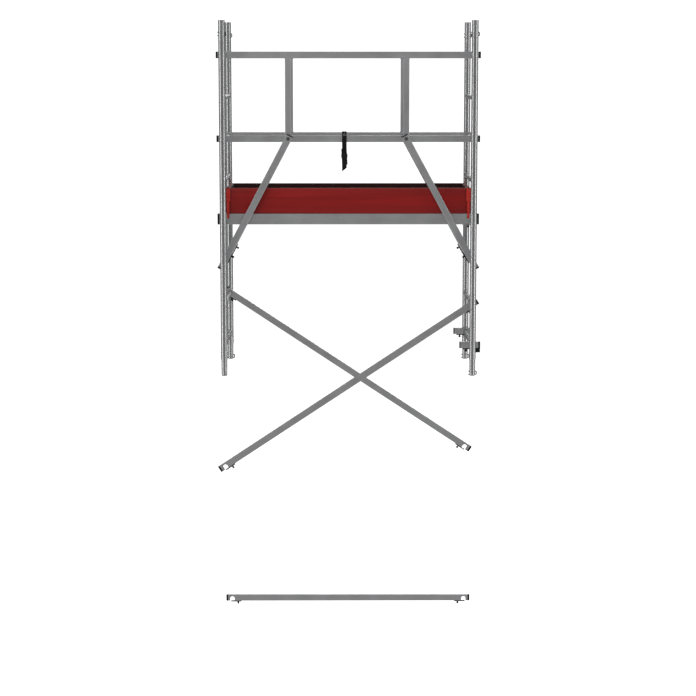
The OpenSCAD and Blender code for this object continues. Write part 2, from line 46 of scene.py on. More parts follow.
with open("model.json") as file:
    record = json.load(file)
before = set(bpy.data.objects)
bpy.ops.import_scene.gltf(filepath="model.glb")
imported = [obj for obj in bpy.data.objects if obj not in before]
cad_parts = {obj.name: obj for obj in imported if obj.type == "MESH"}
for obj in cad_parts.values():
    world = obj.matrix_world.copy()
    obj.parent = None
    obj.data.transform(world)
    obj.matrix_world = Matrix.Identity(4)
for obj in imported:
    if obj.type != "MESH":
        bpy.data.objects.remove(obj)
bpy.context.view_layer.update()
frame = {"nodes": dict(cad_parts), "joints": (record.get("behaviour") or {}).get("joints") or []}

# ------------------------------------------------------------------ sizes taken from the frame

MM = 0.001
SIDES = ("left", "right")
FACES = ("front", "rear")
CORNERS = tuple((side, face) for side in SIDES for face in FACES)
SIGNS = (-1, 1)
TURN = 2 * math.pi
QUARTER = math.pi / 2
JOINTS = {joint["name"]: joint for joint in frame["joints"]}


def middle(node):
    """Centre of a node's box."""
    low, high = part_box(node)
    return (low + high) / 2


def span(node):
    """Size of a node's box."""
    low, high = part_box(node)
    return high - low


RUNGS = 8
UP_X, UP_Y = middle("right_rear_upright").x, middle("right_rear_upright").y
UP_R = span("right_rear_upright").x / 2
RUNG_R = span("left_rungs").x / 2
RUNG_PITCH = (span("left_rungs").z - 2 * RUNG_R) / (RUNGS - 1)


def rung_z(number):
    """Height of a rung's axis; rungs of the sections below have numbers under 1."""
    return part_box("left_rungs")[0].z + RUNG_R + RUNG_PITCH * (number - 1)


TOP_RUNG, MID_RUNG, DECK_RUNG, STRUT_RUNG = 8, 6, 4, 3
DIAGONAL_HIGH, ARM_RUNG, DIAGONAL_LOW = 2, 1, -2
TUBE_H, TUBE_T = span("level_brace").z, span("level_brace").y
CLAW_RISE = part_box("front_guardrail")[1].z - TUBE_H / 2 - rung_z(TOP_RUNG)
LEVEL_Z = middle("level_brace").z - CLAW_RISE
TUBE_END = -UP_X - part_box("level_brace")[0].x
CAP_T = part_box("level_brace")[0].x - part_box("level_brace_caps")[0].x
WALL = 2 * MM
CORNER_R = 3 * MM
BEAM_H = span("deck_beams").z
BEAM_T = 25 * MM
BEAM_RISE = middle("deck_beams").z - rung_z(DECK_RUNG)
DECK_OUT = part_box("deck_beams")[1].y
DECK_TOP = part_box("deck_panel")[1].z
POST_W = 36 * MM
LOCK_TRAVEL = 25 * MM
ARM_OUT, ARM_IN, ARM_CAP_T = 49 * MM, 78 * MM, 6 * MM
RIVET_RISE = CLAW_RISE + 9 * MM
BAR_W, BAR_H = 30 * MM, 25 * MM
STRAP_W = 28 * MM
HATCH_LOW, HATCH_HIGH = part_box("hatch")
CROSS_AT = (HATCH_LOW.x - 15 * MM, HATCH_HIGH.x + 15 * MM, 330 * MM, UP_X - 55 * MM)


def hang(at, along):
    """Frame of a claw: its rung's axis at the origin, +X along the tube and +Z up."""
    x = Vector(along).normalized()
    y = Vector((0, 0, 1)).cross(x).normalized()
    turn = Matrix((x, y, x.cross(y))).transposed()
    return Matrix.Translation(at) @ turn.to_4x4()


def slope(claw):
    """Angle from +X at which a claw's tube rises."""
    along = claw.to_3x3() @ Vector((1, 0, 0))
    return math.atan2(along.z, along.x)


def slide_axis(lock):
    """Direction in which a slide lock moves from where it is stored."""
    return Vector(JOINTS[lock + "_slide"]["axis"])


def strut_frame(side, face):
    """Claw frame of a strut's foot."""
    sign = -1 if side == "left" else 1
    at = (sign * UP_X, middle(f"strut_{side}_{face}").y, rung_z(STRUT_RUNG))
    return hang(at, -slide_axis(f"strut_lock_{side}_{face}"))


def strut_length(side, face):
    """Distance along a strut from its claw to its pivot."""
    pivot = Vector(JOINTS[f"strut_{side}_{face}_swing"]["pos_m"])
    return (strut_frame(side, face).inverted() @ pivot).x


def ends_at(y, left_z, right_z):
    """Claw frames of the two ends of a tube that hangs at a left and a right height."""
    left, right = Vector((-UP_X, y, left_z)), Vector((UP_X, y, right_z))
    return hang(left, right - left), hang(right, left - right)


def both_ends(y, left_rung, right_rung):
    """Claw frames of the two ends of a tube that hangs on a left and a right rung."""
    return ends_at(y, rung_z(left_rung), rung_z(right_rung))


def brace_frames():
    """Claw frames of each long brace's ends, by the names of their slide locks."""
    front, rear = middle("front_diagonal").y, middle("rear_diagonal").y
    rising = both_ends(front, DIAGONAL_LOW, DIAGONAL_HIGH)
    falling = both_ends(rear, DIAGONAL_HIGH, DIAGONAL_LOW)
    level = ends_at(middle("level_brace").y, LEVEL_Z, LEVEL_Z)
    return {
        "front_diagonal_low_lock": rising[0],
        "front_diagonal_high_lock": rising[1],
        "rear_diagonal_high_lock": falling[0],
        "rear_diagonal_low_lock": falling[1],
        "level_brace_left_lock": level[0],
        "level_brace_right_lock": level[1],
    }


def rail_frames():
    """Claw frames of all ends of the four guardrails."""
    frames = []
    for face in FACES:
        y = middle(f"{face}_guardrail").y
        for rung in (TOP_RUNG, MID_RUNG):
            frames += both_ends(y, rung, rung)
    return frames


def arm_frames():
    """Claw frames of the stand-off bracket's arms."""
    return {
        f"stand_off_{face}_lock": hang(
            (UP_X, middle(f"stand_off_{face}_lock").y, rung_z(ARM_RUNG)), (-1, 0, 0)
        )
        for face in FACES
    }


# ------------------------------------------------------------------ node trees


DIE_LINE = 1.1 * MM
DRAWN_RELIEF = 0.12


class Field:
    """A node's output that can stand in a Python expression."""

    def __init__(self, tree, socket):
        self.tree, self.socket = tree, socket

    def out(self, name):
        """Another output of the same node."""
        return Field(self.tree, self.socket.node.outputs[name])

    def maths(self, operation, *values, clamp=False):
        """The result of a Math node on these values."""
        settings = {"operation": operation, "use_clamp": clamp}
        return self.tree.add("ShaderNodeMath", settings, dict(enumerate(values)))

    def __add__(self, other):
        return self.maths("ADD", self, other)

    def __radd__(self, other):
        return self.maths("ADD", other, self)

    def __sub__(self, other):
        return self.maths("SUBTRACT", self, other)

    def __rsub__(self, other):
        return self.maths("SUBTRACT", other, self)

    def __mul__(self, other):
        return self.maths("MULTIPLY", self, other)

    def __rmul__(self, other):
        return self.maths("MULTIPLY", other, self)

    def __truediv__(self, other):
        return self.maths("DIVIDE", self, other)

    def __gt__(self, other):
        return self.maths("GREATER_THAN", self, other)

    def __lt__(self, other):
        return self.maths("LESS_THAN", self, other)

    def sin(self):
        return self.maths("SINE", self)

    def root(self):
        return self.maths("SQRT", self)

    def abs(self):
        return self.maths("ABSOLUTE", self)

    def clamped(self):
        return self.maths("ADD", self, 0.0, clamp=True)


class Tree:
    """A node tree that is being built."""

    def __init__(self, node_tree):
        self.nodes, self.links = node_tree.nodes, node_tree.links

    def feed(self, socket, value):
        """Links a field to a socket, or sets the socket's own value."""
        if isinstance(value, Field):
            self.links.new(value.socket, socket)
        else:
            socket.default_value = value

    def add(self, kind, settings=None, inputs=None, out=0):
        """Adds a node with its settings, then its inputs, and returns one of its outputs."""
        node = self.nodes.new(kind)
        for name, value in (settings or {}).items():
            setattr(node, name, value)
        for name, value in (inputs or {}).items():
            self.feed(node.inputs[name], value)
        return Field(self, node.outputs[out]) if node.outputs else None

    def mix_colour(self, share, first, second):
        """Colour between two others."""
        settings = {"data_type": "RGBA"}
        return self.add("ShaderNodeMix", settings, {0: share, 6: first, 7: second}, 2)

    def mix_vector(self, share, first, second):
        """Vector between two others."""
        settings = {"data_type": "VECTOR"}
        return self.add("ShaderNodeMix", settings, {0: share, 4: first, 5: second}, 1)

    def place(self):
        """Object coordinates."""
        return self.add("ShaderNodeTexCoord", out="Object")

    def parts(self, vector):
        """The three numbers of a vector."""
        split = self.add("ShaderNodeSeparateXYZ", inputs={0: vector})
        return split, split.out("Y"), split.out("Z")

    def turned(self, vector, angle, size):
        """Coordinates along a tube that rises by an angle from +X, in cells of a size."""
        inputs = {"Vector": vector, "Rotation": (0, -angle, 0), "Scale": size}
        return self.add("ShaderNodeMapping", {"vector_type": "TEXTURE"}, inputs)

    def cloud(self, vector, scale, detail=3.0, rough=0.5):
        """Noise from 0 to 1."""
        inputs = {"Vector": vector, "Scale": scale, "Detail": detail, "Roughness": rough}
        return self.add("ShaderNodeTexNoise", inputs=inputs)

    def band(self, value, low, high):
        """0 below low, 1 above high and smooth between them."""
        settings = {"interpolation_type": "SMOOTHSTEP"}
        return self.add("ShaderNodeMapRange", settings, {0: value, 1: low, 2: high})

    def waves(self, value, pitch):
        """Sine of a length, one wave in each pitch."""
        return (value * (TURN / pitch)).sin()

    def z_only(self, value):
        """Vector along Z."""
        return self.add("ShaderNodeCombineXYZ", inputs={"Z": value})

    def bump(self, height, strength, distance):
        """Normal of a surface with this height."""
        inputs = {"Height": height, "Strength": strength, "Distance": distance}
        return self.add("ShaderNodeBump", inputs=inputs)


def rgb(colour, factor=1.0):
    """Colour with its alpha, lighter or darker by a factor."""
    return tuple(min(1.0, part * factor) for part in colour) + (1.0,)


def material(name):
    """A new material: it, its tree and its shader's inputs."""
    made = bpy.data.materials.new(name)
    made.use_nodes = True
    return made, Tree(made.node_tree), made.node_tree.nodes["Principled BSDF"].inputs


def aluminium(name, colour, roughness, angle=0.0, cell=(0.4, DIE_LINE, DIE_LINE), upright=None, relief=1.0):
    """Extruded aluminium: die lines along a tube, a cloudy skin and rubbed patches.

    A tube rises by the angle from +X; between the two heights in upright it stands.
    A smoother tube has less relief.
    """
    made, tree, shader = material(name)
    place = tree.place()
    along = tree.turned(place, angle, cell)
    if upright:
        z = tree.parts(place)[2]
        share = (z > upright[0]) * (z < upright[1])
        along = tree.mix_vector(share, along, tree.turned(place, QUARTER, cell))
    lines = tree.cloud(along, 1.0, 3.0, 0.6)
    skin = tree.cloud(place, 9.0, 4.0, 0.55)
    specks = tree.band(tree.cloud(place, 160.0, 3.0), 0.62, 0.72)
    rubbed = tree.band(tree.cloud(place, 26.0, 5.0, 0.65), 0.56, 0.66)
    tone = (lines * 0.5 + skin * 0.5 - 0.5) * 1.6 + 0.5
    base = tree.mix_colour(tone.clamped(), rgb(colour, 0.86), rgb(colour, 1.1))
    base = tree.mix_colour(specks * 0.35 * relief, base, rgb(colour, 0.55))
    tree.feed(shader["Base Color"], base)
    shader["Metallic"].default_value = 1.0
    marked = (specks * 0.15 - rubbed * 0.06) * relief
    uneven = marked + ((skin - 0.5) * 0.2 + (lines - 0.5) * 0.12) * (0.3 + 0.7 * relief)
    tree.feed(shader["Roughness"], roughness + uneven)
    height = lines * 0.6 + (rubbed * 0.3 - specks * 0.4) * relief
    tree.feed(shader["Normal"], tree.bump(height, 0.25 * relief, 0.1 * MM))
    return made


def plated(name, colour, roughness, patch):
    """Plated or phosphated steel with crystal patches and worn spots."""
    made, tree, shader = material(name)
    place = tree.place()
    inputs = {"Vector": place, "Scale": 1 / patch}
    cells = tree.add("ShaderNodeTexVoronoi", {"feature": "F1"}, inputs)
    skin = tree.cloud(place, 60.0, 4.0)
    worn = tree.band(tree.cloud(place, 110.0, 4.0, 0.6), 0.55, 0.68)
    base = tree.mix_colour(skin, rgb(colour, 0.75), rgb(colour, 1.2))
    base = tree.mix_colour(worn * 0.4, base, rgb(colour, 1.7))
    tree.feed(shader["Base Color"], base)
    shader["Metallic"].default_value = 1.0
    tree.feed(shader["Roughness"], roughness + cells * 0.1 + (skin - 0.5) * 0.2 - worn * 0.1)
    tree.feed(shader["Normal"], tree.bump(cells * 0.5 + skin, 0.3, 0.08 * MM))
    return made


def moulded(name, colour, roughness):
    """Moulded plastic: a spark-eroded grain, uneven tone and dull scuffs."""
    made, tree, shader = material(name)
    place = tree.place()
    grain = tree.cloud(place, 1400.0, 2.0)
    flow = tree.cloud(place, 32.0, 3.0)
    scuffs = tree.band(tree.cloud(place, 75.0, 6.0, 0.7), 0.58, 0.7)
    base = tree.mix_colour(flow, rgb(colour, 0.8), rgb(colour, 1.25))
    base = tree.mix_colour(scuffs * 0.3, base, rgb([part * 0.8 + 0.02 for part in colour]))
    tree.feed(shader["Base Color"], base)
    tree.feed(shader["Roughness"], roughness + (flow - 0.5) * 0.15 + scuffs * 0.2)
    shader["Specular IOR Level"].default_value = 0.3
    tree.feed(shader["Normal"], tree.bump(grain + scuffs * 0.5, 0.35, 0.12 * MM))
    return made


def board_film(name, colour, roughness):
    """Coated board: roller marks along it, the veneer's grain showing through, scuffs, a paler band along
    its top, and painted shade at its foot and towards its ends.
    """
    made, tree, shader = material(name)
    place = tree.place()
    grain = tree.cloud(tree.turned(place, 0.0, (0.16, 0.02, 2.6 * MM)), 1.0, 5.0, 0.6)
    roller = tree.band(tree.cloud(tree.turned(place, 0.0, (0.9, 0.3, 0.04)), 1.0, 2.0), 0.36, 0.64)
    streaks = tree.band(tree.cloud(tree.turned(place, 0.0, (0.7, 0.2, 0.011)), 1.0, 3.0), 0.42, 0.66)
    scuffs = tree.band(tree.cloud(tree.turned(place, 0.0, (0.05, 0.05, 9 * MM)), 1.0, 6.0, 0.7), 0.6, 0.7)
    z = tree.parts(place)[2]
    low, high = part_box("front_toe_board")
    # Paler band along the top of the board.
    pale_top = tree.band(z, high.z - 9 * MM, high.z) * 0.25
    # Darker towards the foot of the board: painted shade.
    foot_shade = (1 - tree.band(z, low.z, low.z + 60 * MM)) * 0.22
    base = tree.mix_colour(grain, rgb(colour, 0.82), rgb(colour, 1.14))
    base = tree.mix_colour(roller * 0.35 + streaks * 0.3, base, rgb(colour, 0.6))
    base = tree.mix_colour(foot_shade, base, rgb([colour[0] * 0.5, colour[1] * 0.9, colour[2] * 0.8]))
    # Darker towards both ends of the board: painted shade.
    end_shade = tree.band(tree.parts(place)[0].abs(), 0.6, 0.74) * 0.4
    base = tree.mix_colour(end_shade, base, rgb(colour, 0.45))
    pale = rgb([colour[0] * 0.9 + 0.03, colour[1] + 0.03, colour[2] + 0.027])
    base = tree.mix_colour((scuffs * 0.3 + pale_top).clamped(), base, pale)
    tree.feed(shader["Base Color"], base)
    tree.feed(shader["Roughness"], roughness + (grain - 0.5) * 0.16 + scuffs * 0.15)
    height = grain * 0.7 + roller * 0.3 + scuffs * 0.3
    tree.feed(shader["Normal"], tree.bump(height, 0.35, 0.25 * MM))
    shader["Specular IOR Level"].default_value = 0.3
    return made


def board_edge(name, colour):
    """Sealed edge of a board, with its veneers faintly showing as lines."""
    made, tree, shader = material(name)
    place = tree.place()
    y = tree.parts(place)[1]
    wander = tree.cloud(tree.turned(place, 0.0, (0.08, 0.05, 0.05)), 1.0, 3.0) * 0.8
    veneers = (y * (TURN / (3.4 * MM)) + wander * 4).sin() * 0.5 + 0.5
    pores = tree.cloud(place, 700.0, 4.0, 0.7)
    base = tree.mix_colour(veneers, rgb(colour, 0.75), rgb(colour, 1.2))
    tree.feed(shader["Base Color"], tree.mix_colour(pores * 0.5, base, rgb(colour, 0.6)))
    tree.feed(shader["Roughness"], 0.6 + pores * 0.2)
    tree.feed(shader["Normal"], tree.bump(veneers * 0.5 + pores, 0.4, 0.3 * MM))
    return made


def grip_plywood(name, colour):
    """Film-faced plywood with a pressed mesh of fine squares, walked dull in places."""
    made, tree, shader = material(name)
    place = tree.place()
    x, y, z = tree.parts(place)
    turns = TURN / (4.2 * MM)
    mesh = ((x + y) * turns * 0.5).sin() * ((x - y) * turns * 0.5).sin()
    wires = tree.band(mesh.abs(), 0.0, 0.35)
    veneers = tree.waves(z, 2.4 * MM) * 0.5 + 0.5
    face = tree.band(tree.parts(tree.add("ShaderNodeNewGeometry", out="Normal"))[2].abs(), 0.4, 0.7)
    stain = tree.cloud(place, 3.5, 5.0, 0.6)
    walked = tree.band(tree.cloud(place, 7.0, 5.0, 0.62), 0.46, 0.66)
    base = tree.mix_colour(stain, rgb(colour, 0.62), rgb(colour, 1.15))
    base = tree.mix_colour(walked * 0.35, base, rgb([part * 0.8 + 0.09 for part in colour]))
    base = tree.mix_colour(wires * 0.25, base, rgb(colour, 0.5))
    edge = tree.mix_colour(veneers, (0.30, 0.19, 0.10, 1.0), (0.50, 0.35, 0.21, 1.0))
    tree.feed(shader["Base Color"], tree.mix_colour(face, edge, base))
    tree.feed(shader["Roughness"], 0.52 + walked * 0.2 + (stain - 0.5) * 0.1)
    tree.feed(shader["Normal"], tree.bump(wires * face + veneers * (1 - face) * 0.4, 0.6, 0.35 * MM))
    return made


def webbing(name, colour):
    """Woven strap: ribs along it and weft across them on its UV map, with fine fibres and faded patches."""
    made, tree, shader = material(name)
    across = tree.add("ShaderNodeUVMap", {"uv_map": "UVMap"})
    u, v = tree.parts(across)[:2]
    ribs = tree.waves(v, 2.3 * MM) * 0.5 + 0.5
    weft = (u * (TURN / (1.5 * MM)) + tree.waves(v, 4.6 * MM) * 1.5).sin()
    weave = ribs * 0.6 + (weft * 0.5 + 0.5) * 0.4
    threads = tree.add("ShaderNodeMapping", {}, {"Vector": across, "Scale": (900, 2600, 1)})
    fibres = tree.cloud(threads, 1.0)
    faded = tree.cloud(tree.place(), 38.0, 3.0)
    base = tree.mix_colour(weave, rgb(colour, 0.35), rgb(colour, 1.2))
    base = tree.mix_colour(faded * 0.35, base, rgb([part + 0.003 for part in colour]))
    tree.feed(shader["Base Color"], base)
    tree.feed(shader["Roughness"], 0.75 + fibres * 0.2)
    shader["Specular IOR Level"].default_value = 0.25
    tree.feed(shader["Normal"], tree.bump(weave + fibres * 0.3, 0.8, 0.4 * MM))
    return made


# ------------------------------------------------------------------ meshes


def rounded_ring(width, height, radius, steps=4):
    """Points of a rounded rectangle about the origin, anticlockwise."""
    points = []
    for corner in range(4):
        turn = corner * QUARTER
        cx = (width / 2 - radius) * (1, -1, -1, 1)[corner]
        cy = (height / 2 - radius) * (1, 1, -1, -1)[corner]
        for step in range(steps + 1):
            angle = turn + step / steps * QUARTER
            points.append((cx + radius * math.cos(angle), cy + radius * math.sin(angle)))
    return points


def round_ring(radius, count):
    """Points of a circle, anticlockwise."""
    angles = [TURN * k / count for k in range(count)]
    return [(radius * math.cos(angle), radius * math.sin(angle)) for angle in angles]


def hex_ring(across, limit, count=48):
    """Points of a hexagon of a width across its flats, none further out than the limit."""
    points = []
    for k in range(count):
        angle = TURN * k / count
        reach = across / 2 / math.cos((angle + math.pi / 6) % (math.pi / 3) - math.pi / 6)
        reach = min(reach, limit)
        points.append((reach * math.cos(angle), reach * math.sin(angle)))
    return points


class Solids:
    """Closed solids gathered into one mesh."""

    def __init__(self, place=None):
        self.bm = bmesh.new()
        self.place = place or Matrix.Identity(4)

    def skin(self, rings, loop=False):
        """Solid through rings of equally many points, closed at its ends or on itself."""
        made = [[self.bm.verts.new(self.place @ Vector(p)) for p in ring] for ring in rings]
        faces, count = [], len(made[0])
        pairs = list(zip(made, made[1:]))
        if loop:
            pairs.append((made[-1], made[0]))
        for first, second in pairs:
            for k in range(count):
                near, far = k, (k + 1) % count
                faces.append(self.bm.faces.new((first[near], first[far], second[far], second[near])))
        if not loop:
            faces.append(self.bm.faces.new(made[0][::-1]))
            faces.append(self.bm.faces.new(made[-1]))
        bmesh.ops.recalc_face_normals(self.bm, faces=faces)

    def along_x(self, layers):
        """Solid from rings in YZ, given as (x, ring) layers."""
        self.skin([[(x, y, z) for y, z in ring] for x, ring in layers])

    def along_y(self, layers):
        """Solid from rings in XZ, given as (y, ring) layers."""
        self.skin([[(x, y, z) for x, z in ring] for y, ring in layers])

    def along_z(self, layers):
        """Solid from rings in XY, given as (z, ring) layers."""
        self.skin([[(x, y, z) for x, y in ring] for z, ring in layers])

    def block(self, low, high):
        """Box between two corners."""
        ring = [(low[0], low[1]), (high[0], low[1]), (high[0], high[1]), (low[0], high[1])]
        self.along_z([(low[2], ring), (high[2], ring)])

    def rod(self, path, radius, count):
        """Bar with rounded ends, along a path of points in one plane or a straight line."""
        points = [Vector(p) for p in path]
        start, end = points[0], points[-1]
        first, last = (points[1] - start).normalized(), (end - points[-2]).normalized()
        ease = [(0.06, 0.35), (0.3, 0.72), (0.65, 0.94)]
        points = (
            [start + first * radius * at for at, _ in ease]
            + [start + first * radius]
            + points[1:-1]
            + [end - last * radius]
            + [end - last * radius * at for at, _ in reversed(ease)]
        )
        wide = [share for _, share in ease]
        shares = wide + [1.0] * (len(points) - 2 * len(ease)) + wide[::-1]
        rings = []
        side = None
        for k, point in enumerate(points):
            ahead = points[min(k + 1, len(points) - 1)] - points[max(k - 1, 0)]
            ahead.normalize()
            if side is None:
                side = ahead.orthogonal().normalized()
            side = (side - ahead * side.dot(ahead)).normalized()
            other = ahead.cross(side)
            rings.append([
                point + (side * x + other * y) * radius * shares[k]
                for x, y in round_ring(1.0, count)
            ])
        self.skin(rings)

    def bead(self, path, radius, closed=True):
        """Weld bead with ripples along a closed path, or along an open one."""
        ripple, pitch = 0.16, 2.6 * MM
        points = [Vector(p) for p in path]
        ends = points + points[:1] if closed else points
        total = sum((b - a).length for a, b in zip(ends, ends[1:]))
        count = max(8, round(total / pitch) * 4)
        spots = [self.spot(ends, total * k / count) for k in range(count + (not closed))]
        rings = []
        for k, (point, ahead) in enumerate(spots):
            size = radius * (1 + ripple * math.sin(math.pi * k / 2))
            if not closed and k in (0, count):
                size = radius * 0.4
            side = ahead.cross(Vector((0.3, 0.5, 0.8))).normalized()
            other = ahead.cross(side)
            rings.append([point + (side * x + other * y) * size for x, y in round_ring(1.0, 8)])
        self.skin(rings, loop=closed)

    @staticmethod
    def spot(points, distance):
        """Point and direction at a distance along a path."""
        for a, b in zip(points, points[1:]):
            length = (b - a).length
            if distance <= length or b is points[-1]:
                ahead = (b - a).normalized()
                return a + ahead * min(distance, length), ahead
            distance -= length
        return points[-1], (points[-1] - points[-2]).normalized()

    def piece(self, name, paint, smooth=35.0, bevel=0.0):
        """The solids as one object, with a material and soft edges."""
        mesh = bpy.data.meshes.new(name)
        self.bm.to_mesh(mesh)
        self.bm.free()
        made = add_object(name, mesh, smooth)
        mesh.materials.append(paint)
        if bevel:
            soften(made, bevel)
        return made


def add_object(name, mesh, smooth=35.0):
    """Object of a mesh, shaded smooth up to an angle."""
    mesh.shade_smooth()
    mesh.set_sharp_from_angle(angle=math.radians(smooth))
    made = bpy.data.objects.new(name, mesh)
    bpy.context.scene.collection.objects.link(made)
    return made


def soften(piece, width, segments=2):
    """Rounds a piece's sharp edges."""
    bevel = piece.modifiers.new("Soft edges", "BEVEL")
    bevel.width, bevel.segments = width, segments
    bevel.limit_method, bevel.angle_limit = "ANGLE", math.radians(40)


def belongs(piece, body, slot, *nodes):
    """Lets a piece ride on a body and hides the nodes that it stands for; the slot is not used."""
    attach(piece, body)
    if nodes:
        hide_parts(*nodes)
    return piece


def paint_node(name, paint):
    """Gives a node of the frame a material."""
    node = frame["nodes"][name]
    if not node.material_slots:
        node.data.materials.append(paint)
    for entry in node.material_slots:
        entry.material = paint


# ------------------------------------------------------------------ geometry nodes


def geometry_tree(name, inputs):
    """A geometry tree with named inputs: the group, its tree and the input node's field."""
    group = bpy.data.node_groups.new(name, "GeometryNodeTree")
    sockets = group.interface
    sockets.new_socket("Geometry", in_out="INPUT", socket_type="NodeSocketGeometry")
    for label, kind in inputs:
        sockets.new_socket(label, in_out="INPUT", socket_type="NodeSocket" + kind)
    sockets.new_socket("Geometry", in_out="OUTPUT", socket_type="NodeSocketGeometry")
    tree = Tree(group)
    return group, tree, tree.add("NodeGroupInput")


def end_tree(tree, instances, paint):
    """Closes a tree: real meshes of the instances, with their material."""
    real = tree.add("GeometryNodeRealizeInstances", inputs={0: instances})
    painted = tree.add("GeometryNodeSetMaterial", inputs={"Geometry": real, "Material": paint})
    tree.add("NodeGroupOutput", inputs={0: painted})


def on_marks(tree, given, shape):
    """Closes a tree with a shape on every mark, its Z the way that the mark faces."""
    kind = {"data_type": "FLOAT_VECTOR"}
    facing = tree.add("GeometryNodeInputNamedAttribute", kind, {"Name": "facing"})
    align = tree.add("FunctionNodeAlignRotationToVector", {"axis": "Z"}, {"Vector": facing})
    copies = {"Points": given, "Instance": shape, "Rotation": align}
    end_tree(tree, tree.add("GeometryNodeInstanceOnPoints", inputs=copies), given.out("Material"))


def row_tree():
    """Copies of the given mesh in a row, each turned further about Z."""
    group, tree, given = geometry_tree(
        "Row", [("Count", "Int"), ("Step", "Vector"), ("Turn", "Float"), ("Material", "Material")]
    )
    inputs = {"Count": given.out("Count"), "Offset": given.out("Step")}
    line = tree.add("GeometryNodeMeshLine", {"mode": "OFFSET"}, inputs)
    rotation = tree.z_only(tree.add("GeometryNodeInputIndex") * given.out("Turn"))
    copies = {"Points": line, "Instance": given, "Rotation": rotation}
    end_tree(tree, tree.add("GeometryNodeInstanceOnPoints", inputs=copies), given.out("Material"))
    return group


HEAD_SIDES = 16


def heads_tree():
    """A fastener's head on every mark, with a flange, a body of some sides and a dome."""
    group, tree, given = geometry_tree(
        "Heads", [("Radius", "Float"), ("Height", "Float"), ("Sides", "Int"), ("Material", "Material")]
    )
    radius, height = given.out("Radius"), given.out("Height")

    def disc(sides, wide, tall, lift):
        sizes = {"Vertices": sides, "Radius": wide, "Depth": tall}
        body = tree.add("GeometryNodeMeshCylinder", inputs=sizes)
        moves = {"Geometry": body, "Translation": tree.z_only(lift)}
        return tree.add("GeometryNodeTransform", inputs=moves)

    flange = disc(20, radius * 1.35, height * 0.3, height * 0.1)
    shank = disc(given.out("Sides"), radius, height, height * 0.4)
    sizes = {"Segments": 16, "Rings": 8, "Radius": radius * 0.86}
    ball = tree.add("GeometryNodeMeshUVSphere", inputs=sizes)
    flat = tree.add("ShaderNodeCombineXYZ", inputs={"X": 1.0, "Y": 1.0, "Z": height * 0.35 / radius})
    moves = {"Geometry": ball, "Scale": flat, "Translation": tree.z_only(height * 0.88)}
    dome = tree.add("GeometryNodeTransform", inputs=moves)
    join = tree.add("GeometryNodeJoinGeometry")
    for part in (flange, shank, dome):
        tree.links.new(part.socket, join.socket.node.inputs[0])
    on_marks(tree, given, join)
    return group


def saddle_tree():
    """A rippled weld on every mark, where a round rung meets a round upright."""
    group, tree, given = geometry_tree(
        "Saddle welds",
        [("Rung", "Float"), ("Upright", "Float"), ("Bead", "Float"), ("Ripples", "Int"),
         ("Material", "Material")],
    )
    upright = given.out("Upright")

    def circle(count, radius):
        sizes = {"Resolution": count, "Radius": radius}
        return tree.add("GeometryNodeCurvePrimitiveCircle", inputs=sizes)

    ring = circle(96, given.out("Rung"))
    x = tree.parts(tree.add("GeometryNodeInputPosition"))[0]
    dip = upright - (upright * upright - x * x).root()
    moves = {"Geometry": ring, "Offset": tree.z_only(dip)}
    saddle = tree.add("GeometryNodeSetPosition", inputs=moves)
    share = tree.add("GeometryNodeSplineParameter", out="Factor")
    ripple = (share * given.out("Ripples") * TURN).sin() * 0.15 + 1
    waved = tree.add("GeometryNodeSetCurveRadius", inputs={"Curve": saddle, "Radius": ripple})
    profile = {"Curve": waved, "Profile Curve": circle(8, given.out("Bead"))}
    bead = tree.add("GeometryNodeCurveToMesh", inputs=profile)
    on_marks(tree, given, bead)
    return group


def run_tree(piece, group, values, smooth=35.0):
    """Runs a geometry tree on a piece and leaves its result as the piece's plain mesh."""
    modifier = piece.modifiers.new(group.name, "NODES")
    modifier.node_group = group
    for item in group.interface.items_tree:
        if item.name in values and item.in_out == "INPUT":
            modifier[item.identifier] = values[item.name]
    piece.update_tag()
    depsgraph = bpy.context.evaluated_depsgraph_get()
    result = bpy.data.meshes.new_from_object(piece.evaluated_get(depsgraph), depsgraph=depsgraph)
    piece.modifiers.remove(modifier)
    piece.data = result
    result.shade_smooth()
    result.set_sharp_from_angle(angle=math.radians(smooth))
    return piece


def tree_named(make, name):
    """A geometry tree, made on its first use."""
    return bpy.data.node_groups.get(name) or make()


def in_row(piece, count, step, turn=0.0):
    """Repeats a piece in a row."""
    values = {"Count": count, "Step": step, "Turn": turn, "Material": piece.data.materials[0]}
    return run_tree(piece, tree_named(row_tree, "Row"), values)


def marks(name, places):
    """Object whose points say where something goes and which way it faces."""
    mesh = bpy.data.meshes.new(name)
    mesh.from_pydata([tuple(at) for at, _ in places], [], [])
    facing = mesh.attributes.new("facing", "FLOAT_VECTOR", "POINT")
    for entry, (_, way) in zip(facing.data, places):
        entry.vector = way
    made = bpy.data.objects.new(name, mesh)
    bpy.context.scene.collection.objects.link(made)
    return made


def heads(name, places, radius, height, paint):
    """Fastener heads on marks."""
    values = {"Radius": radius, "Height": height, "Sides": HEAD_SIDES, "Material": paint}
    return run_tree(marks(name, places), tree_named(heads_tree, "Heads"), values)


# ------------------------------------------------------------------ settings


